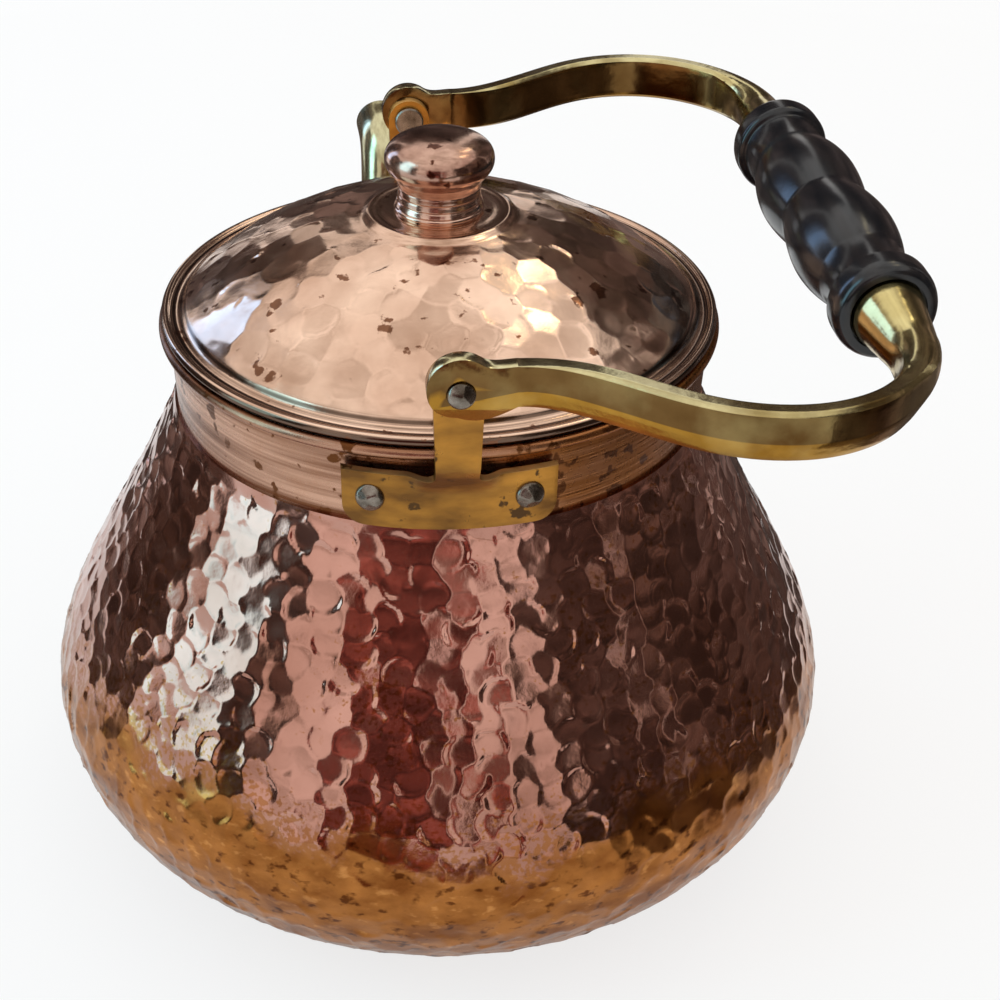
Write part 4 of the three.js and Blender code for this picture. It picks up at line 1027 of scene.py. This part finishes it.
make_body()
make_collar()
make_spout()
make_seat_ring()
ENDS = (("front", False), ("rear", True))
for end, rear in ENDS:
    make_bracket(end, rear)
make_rivet("rivet_1", "rivet_front_left", -1, False)
make_rivet("rivet_2", "rivet_front_right", 1, False)
make_rivet("rivet_3", "rivet_rear_left", 1, True)
make_rivet("rivet_4", "rivet_rear_right", -1, True)
for end, rear in ENDS:
    make_pin(end, rear)
make_lid()
make_skirt()
make_knob()
for end, rear in ENDS:
    make_arm(end, rear)
make_grip()

for node in ("knob_washer", "knob_screw", "grip_rod"):
    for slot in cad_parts[node].material_slots:
        slot.material = fixing_steel


def make_floor():
    """A pale floor, which the camera and the polish see as partly plain white."""
    made, tree, shader = material("pale_floor")
    tree.fill(shader, {"Base Color": (0.88, 0.88, 0.88), "Roughness": 0.9})
    mirrored = tree.math("MAXIMUM", tree.path["Is Glossy Ray"], tree.path["Is Transmission Ray"])
    mirrored = tree.math("MULTIPLY", mirrored, FLOOR_IN_MIRROR)
    share = tree.math("MULTIPLY_ADD", tree.path["Is Camera Ray"], FLOOR_TO_CAMERA, mirrored)
    glow = tree.add("Emission", {})["Emission"]
    tree.finish(tree.add("MixShader", {0: share, 1: shader.outputs["BSDF"], 2: glow})["Shader"])
    corners = FLOOR_REACH * np.array([(-1, -1, 0), (1, -1, 0), (1, 1, 0), (-1, 1, 0)])
    floor = mesh_object("floor", corners, [(0, 1, 2, 3)])
    floor.data.materials.append(made)


def make_flag(name, start, end, edges, tone):
    """A dark card between two azimuths and two edges, by distance and height, seen only in the polish."""
    made, tree, _ = material(name)
    stops = [(place, tuple(share * value for value in tone)) for place, share in FLAG_SHARES]
    tree.finish(tree.add("Emission", {"Color": tree.ramp(tree.noise(FLAG_MOTTLE), *stops)})["Emission"])
    angle = np.radians(np.linspace(start, end, 9))
    points = [(r * math.sin(a), -r * math.cos(a), z) for r, z in edges for a in angle]
    card = mesh_object(name, points, grid_faces(2, len(angle), closed_columns=False))
    card.data.materials.append(made)
    card.visible_camera = card.visible_diffuse = card.visible_shadow = False
    card.visible_transmission = card.visible_volume_scatter = False


def make_flags():
    """Dark cards standing and lying round the kettle."""
    for number, (start, end, top, tone) in enumerate(FLAGS):
        height = FLAG_FOOT + FLAG_DISTANCE * math.tan(math.radians(top))
        edges = ((FLAG_DISTANCE, FLAG_LOW), (FLAG_DISTANCE, height))
        make_flag(f"standing_flag_{number}", start, end, edges, tone)
    for number, (start, end, near, far, tone) in enumerate(LYING_FLAGS):
        make_flag(f"lying_flag_{number}", start, end, ((near, FLAG_LOW), (far, FLAG_LOW)), tone)


def direction(azimuth, elevation):
    """A unit vector away from the kettle, with azimuths from the front towards +X."""
    a, e = math.radians(azimuth), math.radians(elevation)
    return Vector((math.sin(a) * math.cos(e), -math.cos(a) * math.cos(e), math.sin(e)))


def make_light(name, azimuth, elevation, width, height, power, colour):
    """A soft light that faces the kettle."""
    data = bpy.data.lights.new(name, "AREA")
    data.shape = "RECTANGLE"
    data.size, data.size_y = width, height
    data.energy, data.color = power, colour
    light = placed(name, data)
    away = direction(azimuth, elevation)
    light.location = Vector((0, 0, LIGHT_AIM_Z * MM)) + LIGHT_DISTANCE * MM * away
    light.rotation_euler = away.to_track_quat("Z", "Y").to_euler()


def make_room():
    """White all round, which the kettle mirrors a little clouded, and brighter overhead."""
    world = bpy.data.worlds.new("studio")
    scene.world = world
    tree = Tree(world)
    clouds = tree.add("TexNoise", {"Vector": tree.place["Generated"], "Scale": 6.5, "Detail": 2.0})["Fac"]
    sides = tree.ramp(clouds, (0.4, (0.66, 0.62, 0.58)), (0.56, (1.12, 1.1, 1.08)))
    above = tree.ramp(clouds, (0.38, (0.72, 0.67, 0.62)), (0.58, (1.3, 1.28, 1.25)))
    overhead = tree.ramp(tree.axis("Generated", "Z"), (0.6, BLACK), (0.8, WHITE))
    colour = tree.mix(tree.path["Is Camera Ray"], tree.mix(overhead, sides, above), WHITE)
    tree.fill(tree.nodes["Background"], {"Color": colour})


def make_camera():
    """The camera at the photograph's viewing angle."""
    data = bpy.data.cameras.new("camera")
    data.sensor_width = SENSOR
    data.lens = FOCAL_PX / PICTURE_PX * SENSOR
    data.shift_x = 0.5 - CENTRE_X_PX / PICTURE_PX
    data.shift_y = CENTRE_Y_PX / PICTURE_PX - 0.5
    data.clip_start, data.clip_end = 0.01, 20
    camera = placed("camera", data)
    back = direction(CAMERA_AZIMUTH, CAMERA_ELEVATION)
    camera.location = Vector((0, 0, CAMERA_TARGET_Z * MM)) + CAMERA_DISTANCE * MM * back
    camera.rotation_mode = "QUATERNION"
    roll = Euler((0, 0, math.radians(CAMERA_ROLL))).to_quaternion()
    camera.rotation_quaternion = (-back).to_track_quat("-Z", "Y") @ roll
    scene.camera = camera


make_floor()
make_flags()
for name, light in LIGHTS.items():
    make_light(name, *light)
make_room()
make_camera()

scene.view_settings.view_transform = "Standard"
